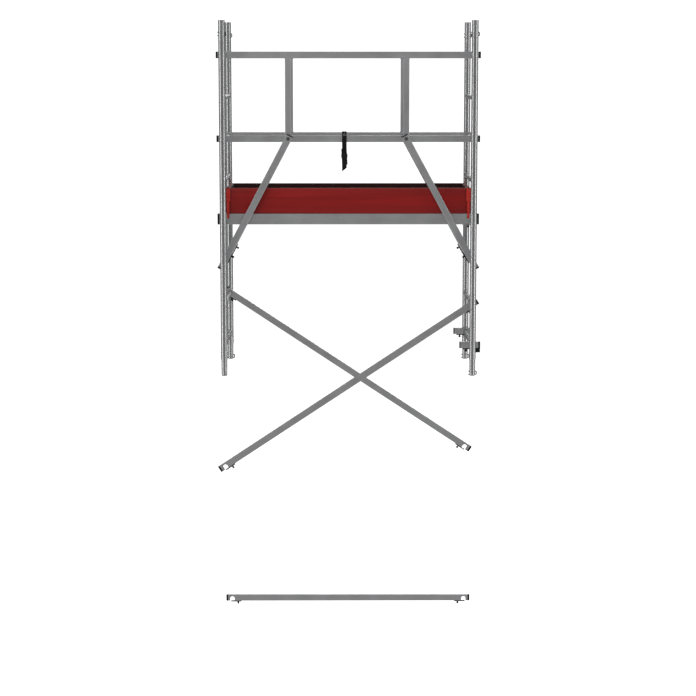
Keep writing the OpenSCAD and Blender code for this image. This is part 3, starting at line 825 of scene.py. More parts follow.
class StageSettings(PropertyGroup):
    """Camera, floor and lights."""

    lens: FloatProperty(
        name="Lens", description="Focal length of the camera", default=102.63, min=20, unit="CAMERA"
    )
    camera_at: FloatVectorProperty(
        name="Camera", description="Place of the camera",
        default=(-0.055, -12.299, 1.802), subtype="TRANSLATION"
    )
    tilt: FloatProperty(
        name="Tilt", description="How far the camera looks down",
        default=math.radians(8.245), subtype="ANGLE"
    )
    swing: FloatProperty(
        name="Swing", description="How far the camera looks to the right",
        default=math.radians(0.253), subtype="ANGLE"
    )
    floor_z: FloatProperty(name="Floor", description="Height of the floor", default=-1.87, unit="LENGTH")
    floor_colour: FloatVectorProperty(
        name="Floor colour", description="Colour of the floor", default=(0.93, 0.93, 0.93), subtype="COLOR"
    )
    surround: FloatProperty(name="Surround", description="Brightness of the room", default=0.36, min=0)
    strips: FloatProperty(
        name="Strips", description="Power of the two tall lights", default=52.0, min=0, unit="POWER"
    )
    key: FloatProperty(
        name="Key", description="Power of the large front light", default=380.0, min=0, unit="POWER"
    )
    sheen: FloatProperty(
        name="Sheen", description="Power of the light that metal mirrors", default=36.0, min=0, unit="POWER"
    )


class MetalSettings(PropertyGroup):
    """Finishes of the metal parts."""

    tube_colour: FloatVectorProperty(
        name="Braces", description="Colour of braces and rails",
        default=(0.575, 0.577, 0.582), subtype="COLOR"
    )
    upright_colour: FloatVectorProperty(
        name="Frames", description="Colour of uprights and rungs",
        default=(0.52, 0.522, 0.526), subtype="COLOR"
    )
    deck_colour: FloatVectorProperty(
        name="Deck beams", description="Colour of the deck's beams",
        default=(0.56, 0.565, 0.56), subtype="COLOR"
    )
    zinc_colour: FloatVectorProperty(
        name="Fasteners", description="Colour of bolts, rivets and hinges",
        default=(0.6, 0.6, 0.61), subtype="COLOR"
    )
    bolt_colour: FloatVectorProperty(
        name="Pivots", description="Colour of the pivot bolts", default=(0.16, 0.16, 0.165), subtype="COLOR"
    )
    pin_colour: FloatVectorProperty(
        name="Pins", description="Colour of the wire pins", default=(0.035, 0.035, 0.037), subtype="COLOR"
    )
    roughness: FloatProperty(
        name="Roughness", description="Roughness of braces and rails", default=0.42, min=0.05, max=1
    )
    drawn: FloatProperty(
        name="Drawn finish", description="Roughness of frames", default=0.25, min=0.05, max=1
    )
    weld: FloatProperty(name="Weld", description="Radius of a weld bead", default=2.4 * MM, unit="LENGTH")
    ripples: IntProperty(name="Ripples", description="Ripples round a rung's weld", default=30, min=6)
    ribs: IntProperty(name="Rung ribs", description="Grip ribs round a rung", default=20, min=8)
    rib_depth: FloatProperty(
        name="Rib depth", description="Depth of a rung's grooves", default=0.6 * MM, unit="LENGTH"
    )


class PlasticSettings(PropertyGroup):
    """Finishes of the moulded parts."""

    black: FloatVectorProperty(
        name="Black", description="Colour of caps and knobs", default=(0.004, 0.004, 0.0045), subtype="COLOR"
    )
    clip_colour: FloatVectorProperty(
        name="Corner clips", description="Colour of the corner clips",
        default=(0.4, 0.022, 0.014), subtype="COLOR"
    )
    flutes: IntProperty(name="Flutes", description="Grip flutes round a knob", default=8, min=3)


class BoardSettings(PropertyGroup):
    """Toe boards and deck."""

    film: FloatVectorProperty(
        name="Toe board", description="Colour of a toe board's outside",
        default=(0.235, 0.0065, 0.0055), subtype="COLOR"
    )
    # Near-black colour of a toe board's inner faces: painted shade.
    inside: FloatVectorProperty(
        name="Inside", description="Colour of a toe board's inside",
        default=(0.022, 0.0012, 0.0014), subtype="COLOR"
    )
    edge: FloatVectorProperty(
        name="Edge", description="Colour of a toe board's sealed edge",
        default=(0.13, 0.022, 0.018), subtype="COLOR"
    )
    deck: FloatVectorProperty(
        name="Deck", description="Colour of the deck's film", default=(0.16, 0.08, 0.04), subtype="COLOR"
    )
    round_edge: FloatProperty(
        name="Edge radius", description="Rounding of the boards", default=2 * MM, unit="LENGTH"
    )


class StrapSettings(PropertyGroup):
    """The webbing strap."""

    colour: FloatVectorProperty(
        name="Webbing", description="Colour", default=(0.006, 0.006, 0.007), subtype="COLOR"
    )
    thickness: FloatProperty(name="Thickness", description="Thickness", default=1.9 * MM, unit="LENGTH")
    folds: IntProperty(name="Folds", description="Layers in the bundle", default=5, min=3)
    seed: IntProperty(name="Seed", description="Seed of the folds' unevenness", default=7)


class ScaffoldSettings(PropertyGroup):
    """All settings of the section."""

    stage: PointerProperty(type=StageSettings)
    metal: PointerProperty(type=MetalSettings)
    plastic: PointerProperty(type=PlasticSettings)
    board: PointerProperty(type=BoardSettings)
    strap: PointerProperty(type=StrapSettings)


def paint(name, make, *values, **options):
    """A material, made on its first use."""
    return bpy.data.materials.get(name) or make(name, *values, **options)


def black_plastic(settings):
    return paint("black_moulding", moulded, settings.plastic.black, 0.48)


def zinc(settings):
    return paint("zinc_plate", plated, settings.metal.zinc_colour, 0.34, 2.5 * MM)


def dark_steel(settings):
    return paint("pivot_steel", plated, settings.metal.bolt_colour, 0.4, 2.5 * MM)


def weld_metal(settings):
    return paint("weld_metal", plated, settings.metal.tube_colour, 0.42, 3 * MM)


# ------------------------------------------------------------------ stage


def area_light(name, at, target, size, power, glossy=True):
    """Rectangular soft light that faces a point."""
    data = bpy.data.lights.new(name, "AREA")
    data.shape, data.size, data.size_y, data.energy = "RECTANGLE", size[0], size[1], power
    made = bpy.data.objects.new(name, data)
    bpy.context.scene.collection.objects.link(made)
    made.location = at
    made.rotation_euler = (Vector(target) - Vector(at)).to_track_quat("-Z", "Y").to_euler()
    made.visible_glossy = glossy
    made.visible_camera = False


def studio_floor(settings):
    """Round floor that sweeps up into a wall, bright enough to read as plain white."""
    made, tree, shader = material("floor_paper")
    tone = tree.cloud(tree.place(), 0.8, 2.0)
    colour = tree.mix_colour(tone, rgb(settings.floor_colour, 0.985), rgb(settings.floor_colour, 1.015))
    tree.feed(shader["Base Color"], colour)
    shader["Roughness"].default_value = 0.95
    shader["Specular IOR Level"].default_value = 0.1
    shader["Emission Color"].default_value = (1, 1, 1, 1)
    shader["Emission Strength"].default_value = 0.8
    flat, sweep, wall, count = 15.0, 5.0, 16.0, 96
    profile = [(0.02, 0.0), (2.0, 0.0), (6.0, 0.0), (10.0, 0.0), (flat, 0.0)]
    for k in range(1, 13):
        angle = k / 12 * QUARTER
        profile.append((flat + sweep * math.sin(angle), sweep * (1 - math.cos(angle))))
    profile.append((flat + sweep, wall))
    verts, faces = [], []
    for reach, rise in profile:
        verts += [(x, y, settings.floor_z + rise) for x, y in round_ring(reach, count)]
    for row in range(len(profile) - 1):
        for k in range(count):
            near, far = row * count + k, row * count + (k + 1) % count
            faces.append((near, far, far + count, near + count))
    faces.append(tuple(range(count)))
    mesh = bpy.data.meshes.new("studio_floor")
    mesh.from_pydata(verts, [], faces)
    floor = add_object("studio_floor", mesh)
    mesh.materials.append(made)
    floor.visible_glossy = False
    floor.visible_diffuse = False


def build_stage(settings):
    """Camera, floor, room light and lamps."""
    scene = bpy.context.scene
    scene.view_settings.view_transform = "Standard"
    data = bpy.data.cameras.new("Camera")
    data.lens, data.sensor_width = settings.lens, 36.0
    data.clip_end = 100.0
    camera = bpy.data.objects.new("Camera", data)
    scene.collection.objects.link(camera)
    camera.location = settings.camera_at
    camera.rotation_euler = (QUARTER - settings.tilt, 0, -settings.swing)
    scene.camera = camera
    world = bpy.data.worlds.new("Room")
    world.use_nodes = True
    tree = Tree(world.node_tree)
    room = world.node_tree.nodes["Background"].inputs
    way = tree.add("ShaderNodeTexCoord", out="Generated")
    x, _, z = tree.parts(way)
    sky = tree.band(z, -0.1, 0.9) * 0.45
    flank = tree.band(x.abs(), 0.25, 0.95) * 0.35
    ground = tree.band(0 - z, 0.05, 0.4) * 0.95
    glow = (sky + flank + ground + 0.5) * settings.surround
    tree.feed(room["Color"], tree.add("ShaderNodeCombineXYZ", inputs={0: glow, 1: glow, 2: glow * 1.01}))
    scene.world = world
    for side, x in zip(SIDES, (-4.4, 4.4)):
        area_light(f"{side}_strip", (x, -2.7, 0.6), (0, 0, 0.3), (1.0, 6.0), settings.strips)
    area_light("front_key", (-1.5, -8.0, 5.5), (0, 0, 0.4), (5.0, 4.0), settings.key, glossy=False)
    area_light("front_sheen", (-1.0, -8.5, 4.6), (0, 0, 0.2), (5.0, 3.0), settings.sheen)
    area_light("rear_fill", (2.0, 8.0, 5.0), (0, 0, 0.4), (5.0, 4.0), settings.key * 0.6)
    studio_floor(settings)


# ------------------------------------------------------------------ tubes and frames


def build_tubes(settings):
    """Finishes of all tubes, each with its die lines along it."""
    metal = settings.metal
    tube, skin, deck = metal.tube_colour, metal.upright_colour, metal.deck_colour
    rough = metal.roughness
    upright = paint("upright_skin", aluminium, skin, metal.drawn, angle=QUARTER, relief=DRAWN_RELIEF)
    for side, face in CORNERS:
        paint_node(f"{side}_{face}_upright", upright)
        angle = slope(strut_frame(side, face))
        paint_node(f"strut_{side}_{face}", paint(f"strut_skin_{side}", aluminium, tube, rough, angle=angle))
    paint_node("spigots", upright)
    standing = (rung_z(MID_RUNG) + CLAW_RISE + TUBE_H / 2, rung_z(TOP_RUNG) + CLAW_RISE - TUBE_H / 2)
    rails = paint("rail_skin", aluminium, tube, rough, upright=standing)
    for face, lock in zip(FACES, ("front_diagonal_low_lock", "rear_diagonal_high_lock")):
        paint_node(f"{face}_guardrail", rails)
        angle = slope(brace_frames()[lock])
        paint_node(f"{face}_diagonal", paint(f"diagonal_skin_{face}", aluminium, tube, rough, angle=angle))
    level = paint("level_skin", aluminium, tube, rough)
    for name in ("level_brace", "stand_off"):
        paint_node(name, level)
    paint_node("deck_beams", paint("beam_skin", aluminium, deck, rough + 0.04))
    across = paint("cross_skin", aluminium, deck, rough + 0.04, cell=(DIE_LINE, 0.4, DIE_LINE))
    paint_node("deck_cross_members", across)


def build_rungs(settings):
    """Ribbed rungs and the welds that hold them."""
    metal = settings.metal
    cell = (DIE_LINE, 0.3, DIE_LINE)
    across = paint("rung_skin", aluminium, metal.upright_colour, metal.drawn, cell=cell, relief=DRAWN_RELIEF)
    points = metal.ribs * 4
    bore = RUNG_R - WALL

    def coped(sign, radius, depth, x):
        ring = []
        for k in range(points):
            angle = TURN * k / points
            reach = radius - depth * (0.5 - 0.5 * math.cos(metal.ribs * angle))
            dx, dz = reach * math.cos(angle), reach * math.sin(angle)
            y = UP_Y - math.sqrt(UP_R**2 - dx**2)
            ring.append((x + dx, sign * y, rung_z(1) + dz))
        return ring

    for side, x in zip(SIDES, (-UP_X, UP_X)):
        rung = Solids()
        rings = [coped(-1, RUNG_R, metal.rib_depth, x), coped(1, RUNG_R, metal.rib_depth, x)]
        rung.skin(rings + [coped(1, bore, 0, x), coped(-1, bore, 0, x)], loop=True)
        row = in_row(rung.piece(f"{side}_ribbed_rungs", across, smooth=50), RUNGS, (0, 0, RUNG_PITCH))
        belongs(row, "root", "aluminium_upright", f"{side}_rungs")
    places = [
        ((sx * UP_X, sy * (UP_Y - UP_R - 0.4 * MM), rung_z(number)), (0, sy, 0))
        for sx in SIGNS for sy in SIGNS for number in range(1, RUNGS + 1)
    ]
    values = {"Rung": RUNG_R + 0.4 * MM, "Upright": UP_R + 0.4 * MM, "Bead": metal.weld,
              "Ripples": metal.ripples, "Material": weld_metal(settings)}
    welds = run_tree(marks("rung_welds", places), tree_named(saddle_tree, "Saddle welds"), values, 60)
    belongs(welds, "root", "aluminium_upright")
    places = [
        ((sx * UP_X + way * UP_R, sy * UP_Y, z), (way, 0, 0))
        for sx in SIGNS for sy in SIGNS for way in SIGNS for z in (18 * MM, 42 * MM)
    ]
    rivets = heads("spigot_rivets", places, 3 * MM, 1.4 * MM, zinc(settings))
    belongs(rivets, "root", "zinc_steel")


def build_welds(settings):
    """Welds of the guardrail posts and of the stand-off bracket's cross bar."""
    radius = settings.metal.weld
    beads = Solids()
    for face in FACES:
        y = middle(f"{face}_guardrail").y
        for side in SIDES:
            x = JOINTS[f"strut_{side}_{face}_swing"]["pos_m"][0]
            for rung, sign in ((MID_RUNG, 1), (TOP_RUNG, -1)):
                z = rung_z(rung) + CLAW_RISE + sign * (TUBE_H / 2 + 0.3 * MM)
                ring = rounded_ring(POST_W, TUBE_T - 1 * MM, CORNER_R)
                beads.bead([(x + dx, y + dy, z) for dx, dy in ring], radius)
    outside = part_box("stand_off")[1].x
    under = rung_z(ARM_RUNG) + CLAW_RISE - TUBE_H / 2
    for at in arm_frames().values():
        y = at.translation.y
        for x in (outside - BAR_W, outside):
            seam = [(x, y - TUBE_T / 2 + 2 * MM, under), (x, y + TUBE_T / 2 - 2 * MM, under)]
            beads.bead(seam, radius * 0.8, False)
    piece = beads.piece("post_and_bracket_welds", weld_metal(settings), smooth=60)
    belongs(piece, "root", "aluminium_tube")


# ------------------------------------------------------------------ caps, rivets


def add_cap(solids, at, height, depth, thick, plug=8 * MM):
    """End cap on a tube's end, in a frame whose +X runs into the tube."""
    solids.place = at
    inner = 2 * WALL + 0.6 * MM

    def ring(less):
        return rounded_ring(depth - 2 * less, height - 2 * less, max(0.4 * MM, CORNER_R - less))

    def core(less):
        return rounded_ring(depth - inner - 2 * less, height - inner - 2 * less, 0.8 * MM)

    solids.along_x([
        (plug, core(0.8 * MM)), (plug - 1 * MM, core(0)), (0, core(0)), (0, ring(0)),
        (-1 * MM, ring(0)), (-1.2 * MM, ring(0.6 * MM)),
        (-1.9 * MM, ring(0.6 * MM)), (-2.1 * MM, ring(0)),
        (-thick + 2 * MM, ring(0)), (-thick + 0.7 * MM, ring(0.5 * MM)), (-thick, ring(1.6 * MM)),
        (-thick, ring(3.4 * MM)), (-thick + 0.9 * MM, ring(4 * MM)),
    ])


def cap_at(end, height_rise=CLAW_RISE, reach=TUBE_END):
    """Frame of an end cap from its claw's frame."""
    return end @ Matrix.Translation((-reach, 0, height_rise))


def rivet_marks(ends, depth, rise, reach=TUBE_END):
    """Places of the rivets that hold end caps, on both faces of each tube's end."""
    places = []
    for end in ends:
        for sign in SIGNS:
            at = end @ Vector((-reach + 4.5 * MM, sign * depth / 2, rise))
            places.append((at, end.to_3x3() @ Vector((0, sign, 0))))
    return places


def build_caps(settings):
    """End caps of all tubes, with the rivets that hold them."""
    black, steel = black_plastic(settings), zinc(settings)
    braces = brace_frames()
    groups = {"guardrail_caps": rail_frames()}
    for brace in ("front_diagonal", "rear_diagonal", "level_brace"):
        groups[brace + "_caps"] = [at for name, at in braces.items() if name.startswith(brace)]
    rivets = []
    for node, ends in groups.items():
        solids = Solids()
        for end in ends:
            add_cap(solids, cap_at(end), TUBE_H, TUBE_T, CAP_T)
        belongs(solids.piece("moulded_" + node, black), "root", "black_plastic", node)
        rivets += rivet_marks(ends, TUBE_T, RIVET_RISE)
    deck, beam_ends = Solids(), []
    for sign in SIGNS:
        beam_ends += both_ends(sign * (DECK_OUT - BEAM_T / 2), DECK_RUNG, DECK_RUNG)
    for end in beam_ends:
        add_cap(deck, cap_at(end, BEAM_RISE), BEAM_H, BEAM_T, CAP_T)
    belongs(deck.piece("moulded_deck_caps", black), "root", "black_plastic", "deck_caps")
    rivets += rivet_marks(beam_ends, BEAM_T, BEAM_RISE + 18 * MM)
    bracket, arms = Solids(), list(arm_frames().values())
    for arm in arms:
        add_cap(bracket, cap_at(arm, CLAW_RISE, ARM_OUT - CAP_T), TUBE_H, TUBE_T, CAP_T)
        inner = arm @ Matrix.Translation((ARM_IN - ARM_CAP_T, 0, CLAW_RISE))
        add_cap(bracket, inner @ Matrix.Rotation(math.pi, 4, "Z"), TUBE_H, TUBE_T, ARM_CAP_T, 2 * MM)
    low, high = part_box("stand_off")
    bar = Vector((high.x - BAR_W / 2, 0, low.z + BAR_H / 2))
    for sign in SIGNS:
        at = hang(bar + Vector((0, sign * high.y, 0)), (0, -sign, 0))
        add_cap(bracket, at, BAR_H, BAR_W, ARM_CAP_T)
    belongs(bracket.piece("moulded_stand_off_caps", black), "root", "black_plastic", "stand_off_caps")
    rivet = (2.6 * MM, 1.3 * MM)
    belongs(heads("cap_rivets", rivets, *rivet, steel), "root", "zinc_steel")
    for side, face in CORNERS:
        body, solids = f"strut_{side}_{face}", Solids()
        foot, length = strut_frame(side, face), strut_length(side, face)
        add_cap(solids, cap_at(foot), TUBE_H, TUBE_T, CAP_T)
        over = length + 24 * MM - CAP_T / 2
        head = foot @ Matrix.Translation((over, 0, CLAW_RISE)) @ Matrix.Rotation(math.pi, 4, "Z")
        add_cap(solids, head, TUBE_H, TUBE_T, CAP_T / 2)
        caps = solids.piece(f"moulded_caps_{side}_{face}", black)
        belongs(caps, body, "black_plastic", f"strut_caps_{side}_{face}")
        places = rivet_marks([foot], TUBE_T, RIVET_RISE)
        belongs(heads(f"strut_rivets_{side}_{face}", places, *rivet, steel), body, "zinc_steel")


# ------------------------------------------------------------------ locks, pins, pivots

LOCK_TIP, LOCK_TAIL, LOCK_TOP, LOCK_H, LOCK_W = 10 * MM, 59 * MM, 15.3 * MM, 6 * MM, 14 * MM
KNOB_X, KNOB_R, KNOB_H = 38 * MM, 6 * MM, 15 * MM
STEM_L, STEM_W = 8 * MM, 5 * MM
KEEPER_L, KEEPER_H = 12 * MM, 3 * MM


def lock_outline(less):
    """Outline of a lock's plate: a round nose and rounded corners at the tail."""
    half = LOCK_W / 2 - less
    points = []
    for k in range(13):
        angle = QUARTER + k / 12 * math.pi
        points.append((-LOCK_TIP + LOCK_W / 2 + half * math.cos(angle), half * math.sin(angle)))
    corner = 3 * MM
    for sign in SIGNS:
        for k in range(5):
            angle = k / 4 * QUARTER
            turn = angle - QUARTER if sign < 0 else angle
            x = LOCK_TAIL - corner + (corner - less) * math.cos(turn)
            y = sign * (LOCK_W / 2 - corner) + (corner - less) * math.sin(turn)
            points.append((x, y))
    return points


def add_lock(solids, at, flutes):
    """Slide lock in its claw's frame: plate, fluted knob, stem and keeper."""
    solids.place = at
    under, soft = -LOCK_TOP - LOCK_H, 0.7 * MM
    solids.along_z([
        (under, lock_outline(soft)), (under + soft, lock_outline(0)),
        (-LOCK_TOP - soft, lock_outline(0)), (-LOCK_TOP, lock_outline(soft)),
    ])
    layers = []
    for share, reach, flute in (
        (-0.02, 0.4, 0.0), (0.0, 0.66, 0.1), (0.06, 0.9, 0.5), (0.16, 1.08, 1.0), (0.3, 1.16, 1.0),
        (0.46, 1.16, 1.0), (0.6, 1.06, 0.9), (0.7, 0.9, 0.4), (0.78, 0.8, 0.0), (0.92, 0.8, 0.0),
        (0.96, 1.05, 0.0), (1.03, 1.08, 0.0),
    ):
        ring = []
        for k in range(64):
            angle = TURN * k / 64
            dip = flute * 0.11 * (0.5 - 0.5 * math.cos(flutes * angle))
            size = KNOB_R * (reach - dip)
            ring.append((KNOB_X + size * math.cos(angle), size * math.sin(angle)))
        layers.append((under - KNOB_H + share * KNOB_H, ring))
    solids.along_z(layers)
    keeper = CLAW_RISE - TUBE_H / 2 + WALL + 0.3 * MM
    solids.block((KNOB_X - STEM_L / 2, -STEM_W / 2, -LOCK_TOP - 0.5 * MM),
                 (KNOB_X + STEM_L / 2, STEM_W / 2, keeper + 0.5 * MM))
    solids.block((KNOB_X - KEEPER_L / 2, -KEEPER_L / 2, keeper),
                 (KNOB_X + KEEPER_L / 2, KEEPER_L / 2, keeper + KEEPER_H))


def build_locks(settings):
    """Slide locks of struts, braces and bracket, and the deck lock's grips."""
    black, flutes = black_plastic(settings), settings.plastic.flutes
    places = {**brace_frames(), **arm_frames()}
    for side, face in CORNERS:
        drawn = strut_frame(side, face) @ Matrix.Translation((LOCK_TRAVEL, 0, 0))
        places[f"strut_lock_{side}_{face}"] = drawn
    for node, at in places.items():
        solids = Solids()
        add_lock(solids, at, flutes)
        belongs(solids.piece("fluted_" + node, black, smooth=40), node, "black_plastic", node)
    paint_node("deck_lock_bar", zinc(settings))
    low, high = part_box("deck_lock_grips")
    x, z, reach = (low.x + high.x) / 2, (low.z + high.z) / 2, (high.x - low.x) / 2
    grips = Solids()
    for sign in SIGNS:
        inner, outer = sign * (high.y - 14 * MM), sign * high.y
        layers = [(inner, 0.8), (inner + (outer - inner) * 0.05, 1.0)]
        for k in range(1, 18):
            share = 0.05 + k / 18 * 0.85
            layers.append((inner + (outer - inner) * share, 1.0 if k % 3 else 0.88))
        layers += [(inner + (outer - inner) * 0.97, 0.9), (outer, 0.7)]
        grips.along_y([
            (y, [(x + dx, z + dz) for dx, dz in round_ring(reach * size, 32)]) for y, size in layers
        ])
    belongs(grips.piece("ribbed_deck_grips", black), "deck_lock", "black_plastic", "deck_lock_grips")


def build_pins(settings):
    """Bent wire pins that lock the frames together."""
    steel = paint("pin_wire", plated, settings.metal.pin_colour, 0.38, 4 * MM)
    corner = 4 * MM
    pins = [f"{kind}_pin_{side}_{face}" for side, face in CORNERS for kind in ("top", "joint")]
    for node in pins:
        if node not in frame["nodes"]:
            continue
        low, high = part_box(node)
        wire = (high.y - low.y) / 2
        half = (high.z - low.z) / 2 - wire
        mid, back = (low + high) / 2, high.x - wire - corner
        bends = [k / 8 * QUARTER for k in range(9)]
        arc = [
            (back + corner * math.sin(bend), mid.z + half - corner + corner * math.cos(bend))
            for bend in bends
        ]
        arc += [(x, 2 * mid.z - z) for x, z in reversed(arc)]
        path = [(low.x, mid.z + half), *arc, (low.x, mid.z - half)]
        solids = Solids()
        solids.rod([(x, mid.y, z) for x, z in path], wire, 20)
        belongs(solids.piece("bent_" + node, steel, smooth=50), node, "pin_steel", node)


def build_pivots(settings):
    """Pivot bolts of the struts, each with washers, a spacer and a locking nut."""
    bolts, rings = Solids(), Solids()
    flats, corner, washer, shank, washer_t, rim = 16 * MM, 10 * MM, 11 * MM, 5 * MM, 1.5 * MM, 0.3 * MM
    for face, way in zip(FACES, SIGNS):
        rail = abs(middle(f"{face}_guardrail").y)
        strut = abs(middle(f"strut_left_{face}").y)
        head = strut + TUBE_T / 2 + rim
        nut = rail - TUBE_T / 2 - 0.05 * MM
        for side in SIDES:
            x, _, z = JOINTS[f"strut_{side}_{face}_swing"]["pos_m"]

            def disc(solids, parts):
                solids.along_y([(way * y, [(x + dx, z + dz) for dx, dz in round_ring(size, 40)])
                                for y, size in parts])

            def hexagon(parts):
                bolts.along_y([(way * y, [(x + dx, z + dz) for dx, dz in hex_ring(flats, size)])
                               for y, size in parts])

            far = head + washer_t
            disc(bolts, [(head, washer - rim), (head + rim, washer),
                         (far - rim, washer), (far, washer - rim)])
            hexagon([(far, 7.6 * MM), (far + rim, corner),
                     (head + 5.2 * MM, corner), (head + 6 * MM, 7.4 * MM)])
            disc(bolts, [(strut - TUBE_T / 2 - rim, washer), (rail + TUBE_T / 2 + rim, washer)])
            hexagon([(nut, 7.6 * MM), (nut - 0.8 * MM, corner), (nut - 5.4 * MM, corner),
                     (nut - 5.8 * MM, 7.2 * MM)])
            disc(rings, [(nut - 5.7 * MM, 6.9 * MM), (nut - 7.3 * MM, 6.9 * MM), (nut - 7.8 * MM, 6.2 * MM)])
            disc(bolts, [(nut - 7.9 * MM, shank - 1 * MM), (nut - 7 * MM, shank), (head + 1 * MM, shank)])
    belongs(bolts.piece("pivot_bolts", dark_steel(settings)), "root", "zinc_steel", "strut_pivots")
    belongs(rings.piece("pivot_nut_rings", black_plastic(settings)), "root", "black_plastic")


# ------------------------------------------------------------------ deck and toe boards


def build_deck(settings):
    """Deck panel, hatch with its finger ring, hinges and all their screws."""
    ply = paint("deck_film", grip_plywood, settings.board.deck)
    steel = zinc(settings)
    for node in ("deck_panel", "hatch"):
        paint_node(node, ply)
    for node in ("hatch_hinges", "deck_hinges"):
        paint_node(node, steel)
    outer, inner = 205 * MM, 110 * MM
    up = (0, 0, 1)
    places = [
        ((x, y, DECK_TOP), up) for x in CROSS_AT for y in (-outer, -inner, inner, outer)
        if x > HATCH_HIGH.x + 30 * MM or abs(y) == outer
    ]
    places += [((x, sign * outer, DECK_TOP), up) for x in (-0.45, -0.25) for sign in SIGNS]
    belongs(heads("deck_screws", places, 4 * MM, 0.8 * MM, steel), "root", "zinc_steel")
    sides = []
    for sign in SIGNS:
        for x in CROSS_AT:
            for z in (DECK_TOP - 46 * MM, DECK_TOP - 24 * MM):
                sides.append(((x, sign * DECK_OUT, z), (0, sign, 0)))
    belongs(heads("beam_rivets", sides, 3.6 * MM, 1.8 * MM, steel), "root", "zinc_steel")
    hinge_y = JOINTS["hatch_hinge"]["pos_m"][1]
    leaf_top = DECK_TOP + 2 * MM
    for sign, body, node in ((1, "root", "deck_hinges"), (-1, "hatch", "hatch_hinges")):
        low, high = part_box(node)
        spots = []
        for x in (low.x + 30 * MM, high.x - 30 * MM):
            spots += [((x + dx, hinge_y + sign * dy, leaf_top), up)
                      for dx, dy in ((-22 * MM, 12 * MM), (0, 23 * MM), (22 * MM, 12 * MM))]
        belongs(heads(node + "_screws", spots, 2.8 * MM, 0.7 * MM, steel), body, "zinc_steel")
    hole_r, flange, lip = 18 * MM, 25 * MM, 1.4 * MM
    at = ((HATCH_LOW.x + HATCH_HIGH.x) / 2, HATCH_LOW.y + 40 * MM)
    ring = Solids(Matrix.Translation((at[0], at[1], 0)))
    bottom = HATCH_LOW.z + 1 * MM
    profile = [
        (hole_r - 2 * MM, bottom), (hole_r - 0.2 * MM, bottom), (hole_r - 0.2 * MM, DECK_TOP),
        (flange, DECK_TOP), (flange, DECK_TOP + lip * 0.4), (flange - 1 * MM, DECK_TOP + lip),
        (hole_r - 0.6 * MM, DECK_TOP + lip), (hole_r - 2 * MM, DECK_TOP + lip * 0.2),
    ]
    ring.skin([[(x, y, z) for x, y in round_ring(reach, 48)] for reach, z in profile], loop=True)
    belongs(ring.piece("hatch_finger_ring", black_plastic(settings)), "hatch", "black_plastic")


def add_board(name, low, high, length_axis, outward, settings):
    """Toe board with rounded edges: one material on its outer face, a near-black one on its inner face as
    painted shade, and one on its edges.
    """
    board = settings.board
    thick_axis = 1 - length_axis
    soft = board.round_edge
    wide, tall = high[thick_axis] - low[thick_axis], high.z - low.z
    mid_t, mid_z = (low[thick_axis] + high[thick_axis]) / 2, (low.z + high.z) / 2
    layers = []
    for at, less in ((low[length_axis], soft), (low[length_axis] + soft, 0),
                     (high[length_axis] - soft, 0), (high[length_axis], soft)):
        ring = rounded_ring(wide - 2 * less, tall - 2 * less, soft, 3)
        layers.append((at, [(mid_t + a, mid_z + b) for a, b in ring]))
    solids = Solids()
    (solids.along_x if length_axis == 0 else solids.along_y)(layers)
    paints = [
        paint("toe_board_outside", board_film, board.film, 0.42),
        # The inner faces get the near-black colour: painted shade.
        paint("toe_board_inside", board_film, board.inside, 0.55),
        paint("toe_board_edge", board_edge, board.edge),
    ]
    piece = solids.piece(name, paints[0], smooth=30)
    for extra in paints[1:]:
        piece.data.materials.append(extra)
    for face in piece.data.polygons:
        out = face.normal[thick_axis] * outward
        face.material_index = 0 if out > 0.8 else 1 if out < -0.8 else 2
    return piece


def add_clip(solids, sx, sy, corner):
    """Corner clip: a plate outside the board, a wrap round its end, a tongue over the beam."""
    low, high = corner
    x0, x1 = sorted((sx * low.x, sx * high.x))
    plate = 8 * MM
    out, inn = sy * high.y, sy * (high.y - plate)
    wrap = sy * (high.y - plate - 25 * MM)
    top, foot, tip = high.z, high.z - 75 * MM, low.z

    def bar(x_range, y_range, z_low, z_high):
        solids.block((min(x_range), min(y_range), z_low), (max(x_range), max(y_range), z_high))

    outer_x = sx * high.x
    bar((x0, x1), (out, inn), foot, top)
    bar((outer_x, outer_x - sx * 4 * MM), (inn, wrap), foot, top)
    mid = (x0 + x1) / 2 - sx * 2 * MM

    def tongue(half, near, deep):
        near, far = out - sy * near, out - sy * deep
        return [(mid - half, near), (mid + half, near), (mid + half, far), (mid - half, far)]

    full = tongue(7 * MM, 0, 4.7 * MM)
    solids.along_z([(tip, tongue(5 * MM, 1 * MM, 4.6 * MM)), (tip + 3 * MM, full), (foot + 0.5 * MM, full)])


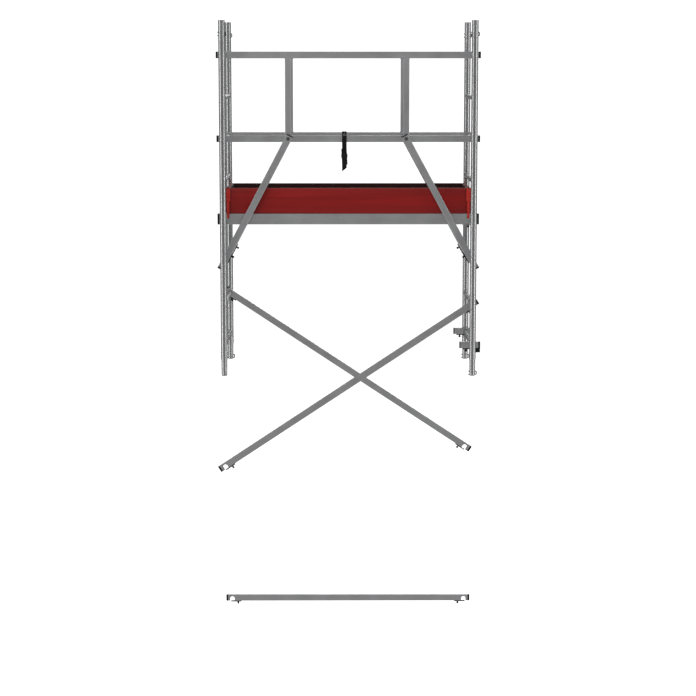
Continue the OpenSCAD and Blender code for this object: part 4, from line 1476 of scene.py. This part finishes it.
def build_toe_boards(settings):
    """Toe boards, their corner clips with grip ribs, and the clips' screws."""
    for face, sign in zip(FACES, SIGNS):
        low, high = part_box(f"{face}_toe_board")
        board = add_board(f"{face}_toe_plank", low, high, 0, sign, settings)
        belongs(board, "root", "red_board", f"{face}_toe_board")
    low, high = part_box("end_toe_boards")
    thick = 25 * MM
    for side, sign in zip(SIDES, SIGNS):
        edge = sign * high.x
        first, second = sorted((edge, edge - sign * thick))
        start, end = Vector((first, low.y, low.z)), Vector((second, high.y, high.z))
        board = add_board(f"{side}_toe_plank", start, end, 1, sign, settings)
        belongs(board, "root", "red_board", "end_toe_boards")
    red = paint("red_moulding", moulded, settings.plastic.clip_colour, 0.4)
    clips = Solids()
    c_low, c_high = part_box("toe_board_corners")
    corner = Vector((c_high.x - 29 * MM, 0, c_low.z)), c_high
    places = []
    for sx in SIGNS:
        for sy in SIGNS:
            add_clip(clips, sx, sy, corner)
            x = sx * (c_high.x - 14 * MM)
            places += [((x, sy * c_high.y, c_high.z - drop), (0, sy, 0)) for drop in (12 * MM, 63 * MM)]
    belongs(clips.piece("corner_clips", red, bevel=1.4 * MM), "root", "red_plastic", "toe_board_corners")
    screws = heads("clip_screws", places, 2.4 * MM, 1 * MM, dark_steel(settings))
    belongs(screws, "root", "zinc_steel")
    rib_z = c_high.z - 24 * MM
    for sx, side in zip(SIGNS, SIDES):
        for sy, face in zip(SIGNS, FACES):
            rib = Solids()
            x = sx * (c_high.x - 14 * MM)
            face_y = sy * (c_high.y + 0.3 * MM)
            rib.rod([(x - 9 * MM, face_y, rib_z), (x + 9 * MM, face_y, rib_z)], 1.3 * MM, 12)
            row = in_row(rib.piece(f"clip_ribs_{side}_{face}", red), 5, (0, 0, -7 * MM))
            belongs(row, "root", "red_plastic")


# ------------------------------------------------------------------ strap


def strap_path(settings):
    """Route of the strap from its riveted end: (x, y, z) points, x away from its middle."""
    low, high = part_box("strap")
    rail = middle("front_guardrail").y
    back, front = rail + TUBE_T / 2 + 1.2 * MM, rail - TUBE_T / 2 - 4.2 * MM
    rail_top = rung_z(MID_RUNG) + CLAW_RISE + TUBE_H / 2
    radius, centre = (back - front) / 2, (back + front) / 2
    arch = high.z - radius - 1.5 * MM
    points = [(0, back, rail_top - drop * MM) for drop in (33, 12, 0)] + [(0, back, arch)]
    points += [
        (0, centre + radius * math.cos(k / 12 * math.pi), arch + radius * math.sin(k / 12 * math.pi))
        for k in range(1, 12)
    ]
    points += [(0, front, arch), (0, front - 0.6 * MM, rail_top), (0, front - 0.2 * MM, rail_top - 20 * MM)]
    points.append((0, front - 0.8 * MM, rail_top - 45 * MM))
    uneven = random.Random(settings.strap.seed)
    upper, lower = rail_top - 78 * MM, rail_top - 168 * MM
    step, y, x = 3.0 * MM, front - 0.6 * MM, 0.0
    for fold in range(settings.strap.folds):
        down = fold % 2 == 0
        first, last = (upper, lower) if down else (lower, upper)
        last += uneven.uniform(-4, 4) * MM
        sway = uneven.uniform(-0.35, 0.35) * MM
        aim = uneven.uniform(4.5, 6.0) * MM * (1 if fold % 2 == 0 else -1)
        if fold == settings.strap.folds - 1:
            aim = 0.0
        points += [
            (x + (aim - x) * k / 6, y + sway * math.sin(math.pi * k / 6), first + (last - first) * k / 6)
            for k in range(7)
        ]
        x = aim
        if fold < settings.strap.folds - 1:
            way = -1 if down else 1
            points += [
                (x, y - step / 2 + step / 2 * math.cos(turn), last + way * step / 2 * math.sin(turn))
                for turn in (math.pi / 4, math.pi / 2, 3 * math.pi / 4)
            ]
            y -= step
        upper, lower = (upper, last) if down else (last, lower)
    tail = low.z + 0.5 * MM
    for back, share in ((1 * MM, 0.3), (3.5 * MM, 0.7), (5.5 * MM, 1.0)):
        points.append((x, y + back, lower + (tail - lower) * share))
    return [Vector(point) for point in points]


def add_band(name, path, x, width, thickness, cut, paints):
    """Woven band along a path, cut aslant at its end, with a UV map in metres."""
    mesh, faces, uvs = bpy.data.meshes.new(name), [], []
    half_w, half_t, lip, eased = width / 2, thickness / 2, 0.5 * MM, 45 * MM
    section = [
        (-half_w, -half_t + lip), (-half_w + lip, -half_t), (0, -half_t), (half_w - lip, -half_t),
        (half_w, -half_t + lip), (half_w, half_t - lip), (half_w - lip, half_t), (0, half_t),
        (-half_w + lip, half_t), (-half_w, half_t - lip),
    ]
    around = [0.0]
    for a, b in zip(section, section[1:] + section[:1]):
        around.append(around[-1] + math.dist(a, b))
    along = [0.0]
    for a, b in zip(path, path[1:]):
        along.append(along[-1] + (b - a).length)
    start = along[-1] - eased

    def reach(k, a):
        """Distance along the band of a ring's point, drawn back towards the cut's high side."""
        share = max(0.0, along[k] - start) / eased
        return along[k] - share * cut * (a / width + 0.5)

    verts = []
    for k in range(len(path)):
        for a, b in section:
            point, ahead = Solids.spot(path, reach(k, a))
            out = Vector((1, 0, 0)).cross(ahead).normalized()
            verts.append(point + Vector((x + a, 0, 0)) + out * b)
    count = len(section)
    for k in range(len(path) - 1):
        for j in range(count):
            far = (j + 1) % count
            faces.append((k * count + j, k * count + far, (k + 1) * count + far, (k + 1) * count + j))
            a, b = section[j][0], section[far][0]
            uvs += [(reach(k, a), around[j]), (reach(k, b), around[j + 1]),
                    (reach(k + 1, b), around[j + 1]), (reach(k + 1, a), around[j])]
    for first in (0, (len(path) - 1) * count):
        faces.append(tuple(range(first, first + count)))
        uvs += [(0.0, a) for a in around[:-1]]
    mesh.from_pydata(verts, [], faces)
    layer = mesh.uv_layers.new(name="UVMap")
    for entry, uv in zip(layer.data, uvs):
        entry.uv = uv
    bm = bmesh.new()
    bm.from_mesh(mesh)
    bmesh.ops.recalc_face_normals(bm, faces=bm.faces)
    bm.to_mesh(mesh)
    bm.free()
    made = add_object(name, mesh, 50)
    mesh.materials.append(paints)
    return made, along[-1]


def smooth_path(points, gap=2.2 * MM):
    """Evenly spaced points on a path, with its corners eased."""
    for _ in range(2):
        eased = [points[0]]
        for a, b in zip(points, points[1:]):
            eased += [a.lerp(b, 0.25), a.lerp(b, 0.75)]
        points = eased + [points[-1]]
    even, left = [points[0]], gap
    for a, b in zip(points, points[1:]):
        length, done = (b - a).length, 0.0
        while length - done > left:
            done += left
            even.append(a.lerp(b, done / length))
            left = gap
        left -= length - done
    return even + [points[-1]]


def build_strap(settings):
    """Webbing strap: a loop over the rail, a folded bundle held by a wrap, and a free tail."""
    strap = settings.strap
    weave = paint("black_webbing", webbing, strap.colour)
    low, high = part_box("strap")
    x, width, slant = (low.x + high.x) / 2, STRAP_W, 22 * MM
    path = smooth_path(strap_path(settings))
    band, length = add_band("webbing_strap", path, x, width, strap.thickness, slant, weave)
    belongs(band, "root", "webbing", "strap")
    rail_top = rung_z(MID_RUNG) + CLAW_RISE + TUBE_H / 2
    front = middle("front_guardrail").y - TUBE_T / 2 - 4.8 * MM
    depth = 3.0 * MM * (strap.folds - 1)
    ring = rounded_ring(width + 8 * MM, depth + 5.6 * MM, 2.5 * MM, 5)
    loop = [Vector((dx, front - depth / 2 + dy, 0)) for dx, dy in ring]
    wrap = Solids(Matrix.Translation((x, 0, rail_top - 122 * MM)))
    wide, thin = 11 * MM, 1.2 * MM
    rings = []
    centre = Vector((0, front - depth / 2, 0))
    for point in loop:
        out = (point - centre).normalized() * thin
        rings.append([point + Vector((0, 0, -wide)), point + out + Vector((0, 0, -wide + 1 * MM)),
                      point + out + Vector((0, 0, wide - 1 * MM)), point + Vector((0, 0, wide))])
    wrap.skin(rings, loop=True)
    belongs(wrap.piece("strap_wrap", black_plastic(settings), smooth=50), "root", "webbing")
    eyelet = Solids(Matrix.Translation((x, front - 0.4 * MM, rail_top + 5 * MM)))
    profile = [(3.4, 0.4), (4.4, -0.9), (5.8, -1.0), (6.6, -0.3), (6.8, 0.6), (3.6, 0.9)]
    eyelet.skin(
        [[(dx, y * MM, dz) for dx, dz in round_ring(reach * MM, 32)] for reach, y in profile], loop=True
    )
    belongs(eyelet.piece("strap_eyelet", zinc(settings)), "root", "zinc_steel")
    back = middle("front_guardrail").y + TUBE_T / 2 + 2.2 * MM
    rivets = [((x + dx, back, rail_top - 24 * MM), (0, 1, 0)) for dx in (-7 * MM, 7 * MM)]
    belongs(heads("strap_rivets", rivets, 3.2 * MM, 1.4 * MM, zinc(settings)), "root", "zinc_steel")


# ------------------------------------------------------------------ operators and panel


def settings_of(context):
    return context.scene.scaffold


class SCAFFOLD_OT_stage(Operator):
    """Adds the floor, the lights and the camera"""

    bl_idname = "scaffold.stage"
    bl_label = "Stage"

    def execute(self, context):
        build_stage(settings_of(context).stage)
        return {"FINISHED"}


class SCAFFOLD_OT_tubes(Operator):
    """Finishes the uprights, rails, struts, braces and beams"""

    bl_idname = "scaffold.tubes"
    bl_label = "Tubes"

    def execute(self, context):
        build_tubes(settings_of(context))
        return {"FINISHED"}


class SCAFFOLD_OT_rungs(Operator):
    """Adds the ribbed rungs and their welds"""

    bl_idname = "scaffold.rungs"
    bl_label = "Rungs"

    def execute(self, context):
        build_rungs(settings_of(context))
        return {"FINISHED"}


class SCAFFOLD_OT_welds(Operator):
    """Adds the welds of the guardrails and the bracket"""

    bl_idname = "scaffold.welds"
    bl_label = "Welds"

    def execute(self, context):
        build_welds(settings_of(context))
        return {"FINISHED"}


class SCAFFOLD_OT_caps(Operator):
    """Adds the end caps and their rivets"""

    bl_idname = "scaffold.caps"
    bl_label = "End caps"

    def execute(self, context):
        build_caps(settings_of(context))
        return {"FINISHED"}


class SCAFFOLD_OT_locks(Operator):
    """Adds the slide locks and the deck lock's grips"""

    bl_idname = "scaffold.locks"
    bl_label = "Slide locks"

    def execute(self, context):
        build_locks(settings_of(context))
        return {"FINISHED"}


class SCAFFOLD_OT_pins(Operator):
    """Adds the wire pins"""

    bl_idname = "scaffold.pins"
    bl_label = "Wire pins"

    def execute(self, context):
        build_pins(settings_of(context))
        return {"FINISHED"}


class SCAFFOLD_OT_pivots(Operator):
    """Adds the struts' pivot bolts"""

    bl_idname = "scaffold.pivots"
    bl_label = "Pivot bolts"

    def execute(self, context):
        build_pivots(settings_of(context))
        return {"FINISHED"}


class SCAFFOLD_OT_deck(Operator):
    """Finishes the deck and adds its screws, rivets and finger ring"""

    bl_idname = "scaffold.deck"
    bl_label = "Deck"

    def execute(self, context):
        build_deck(settings_of(context))
        return {"FINISHED"}


class SCAFFOLD_OT_toe_boards(Operator):
    """Adds the toe boards and their corner clips"""

    bl_idname = "scaffold.toe_boards"
    bl_label = "Toe boards"

    def execute(self, context):
        build_toe_boards(settings_of(context))
        return {"FINISHED"}


class SCAFFOLD_OT_strap(Operator):
    """Adds the webbing strap"""

    bl_idname = "scaffold.strap"
    bl_label = "Strap"

    def execute(self, context):
        build_strap(settings_of(context))
        return {"FINISHED"}


STEPS = (
    SCAFFOLD_OT_stage, SCAFFOLD_OT_tubes, SCAFFOLD_OT_rungs, SCAFFOLD_OT_welds, SCAFFOLD_OT_caps,
    SCAFFOLD_OT_locks, SCAFFOLD_OT_pins, SCAFFOLD_OT_pivots, SCAFFOLD_OT_deck,
    SCAFFOLD_OT_toe_boards, SCAFFOLD_OT_strap,
)


class SCAFFOLD_PT_section(Panel):
    """Buttons and settings of the scaffold section"""

    bl_idname = "SCAFFOLD_PT_section"
    bl_label = "Scaffold section"
    bl_space_type = "VIEW_3D"
    bl_region_type = "UI"
    bl_category = "Scaffold"

    def draw(self, context):
        settings = settings_of(context)
        for step in STEPS:
            self.layout.operator(step.bl_idname)
        for name in ("stage", "metal", "plastic", "board", "strap"):
            box = self.layout.box()
            box.label(text=name.capitalize())
            group = getattr(settings, name)
            for key in group.__annotations__:
                box.prop(group, key)


CLASSES = (
    StageSettings, MetalSettings, PlasticSettings, BoardSettings, StrapSettings, ScaffoldSettings,
    *STEPS, SCAFFOLD_PT_section,
)


def register():
    for cls in CLASSES:
        bpy.utils.register_class(cls)
    bpy.types.Scene.scaffold = PointerProperty(type=ScaffoldSettings)


def unregister():
    del bpy.types.Scene.scaffold
    for cls in reversed(CLASSES):
        bpy.utils.unregister_class(cls)


def main():
    """Builds the whole section in order."""
    register()
    for step in STEPS:
        group, name = step.bl_idname.split(".")
        getattr(getattr(bpy.ops, group), name)()


if __name__ == "__main__":
    main()
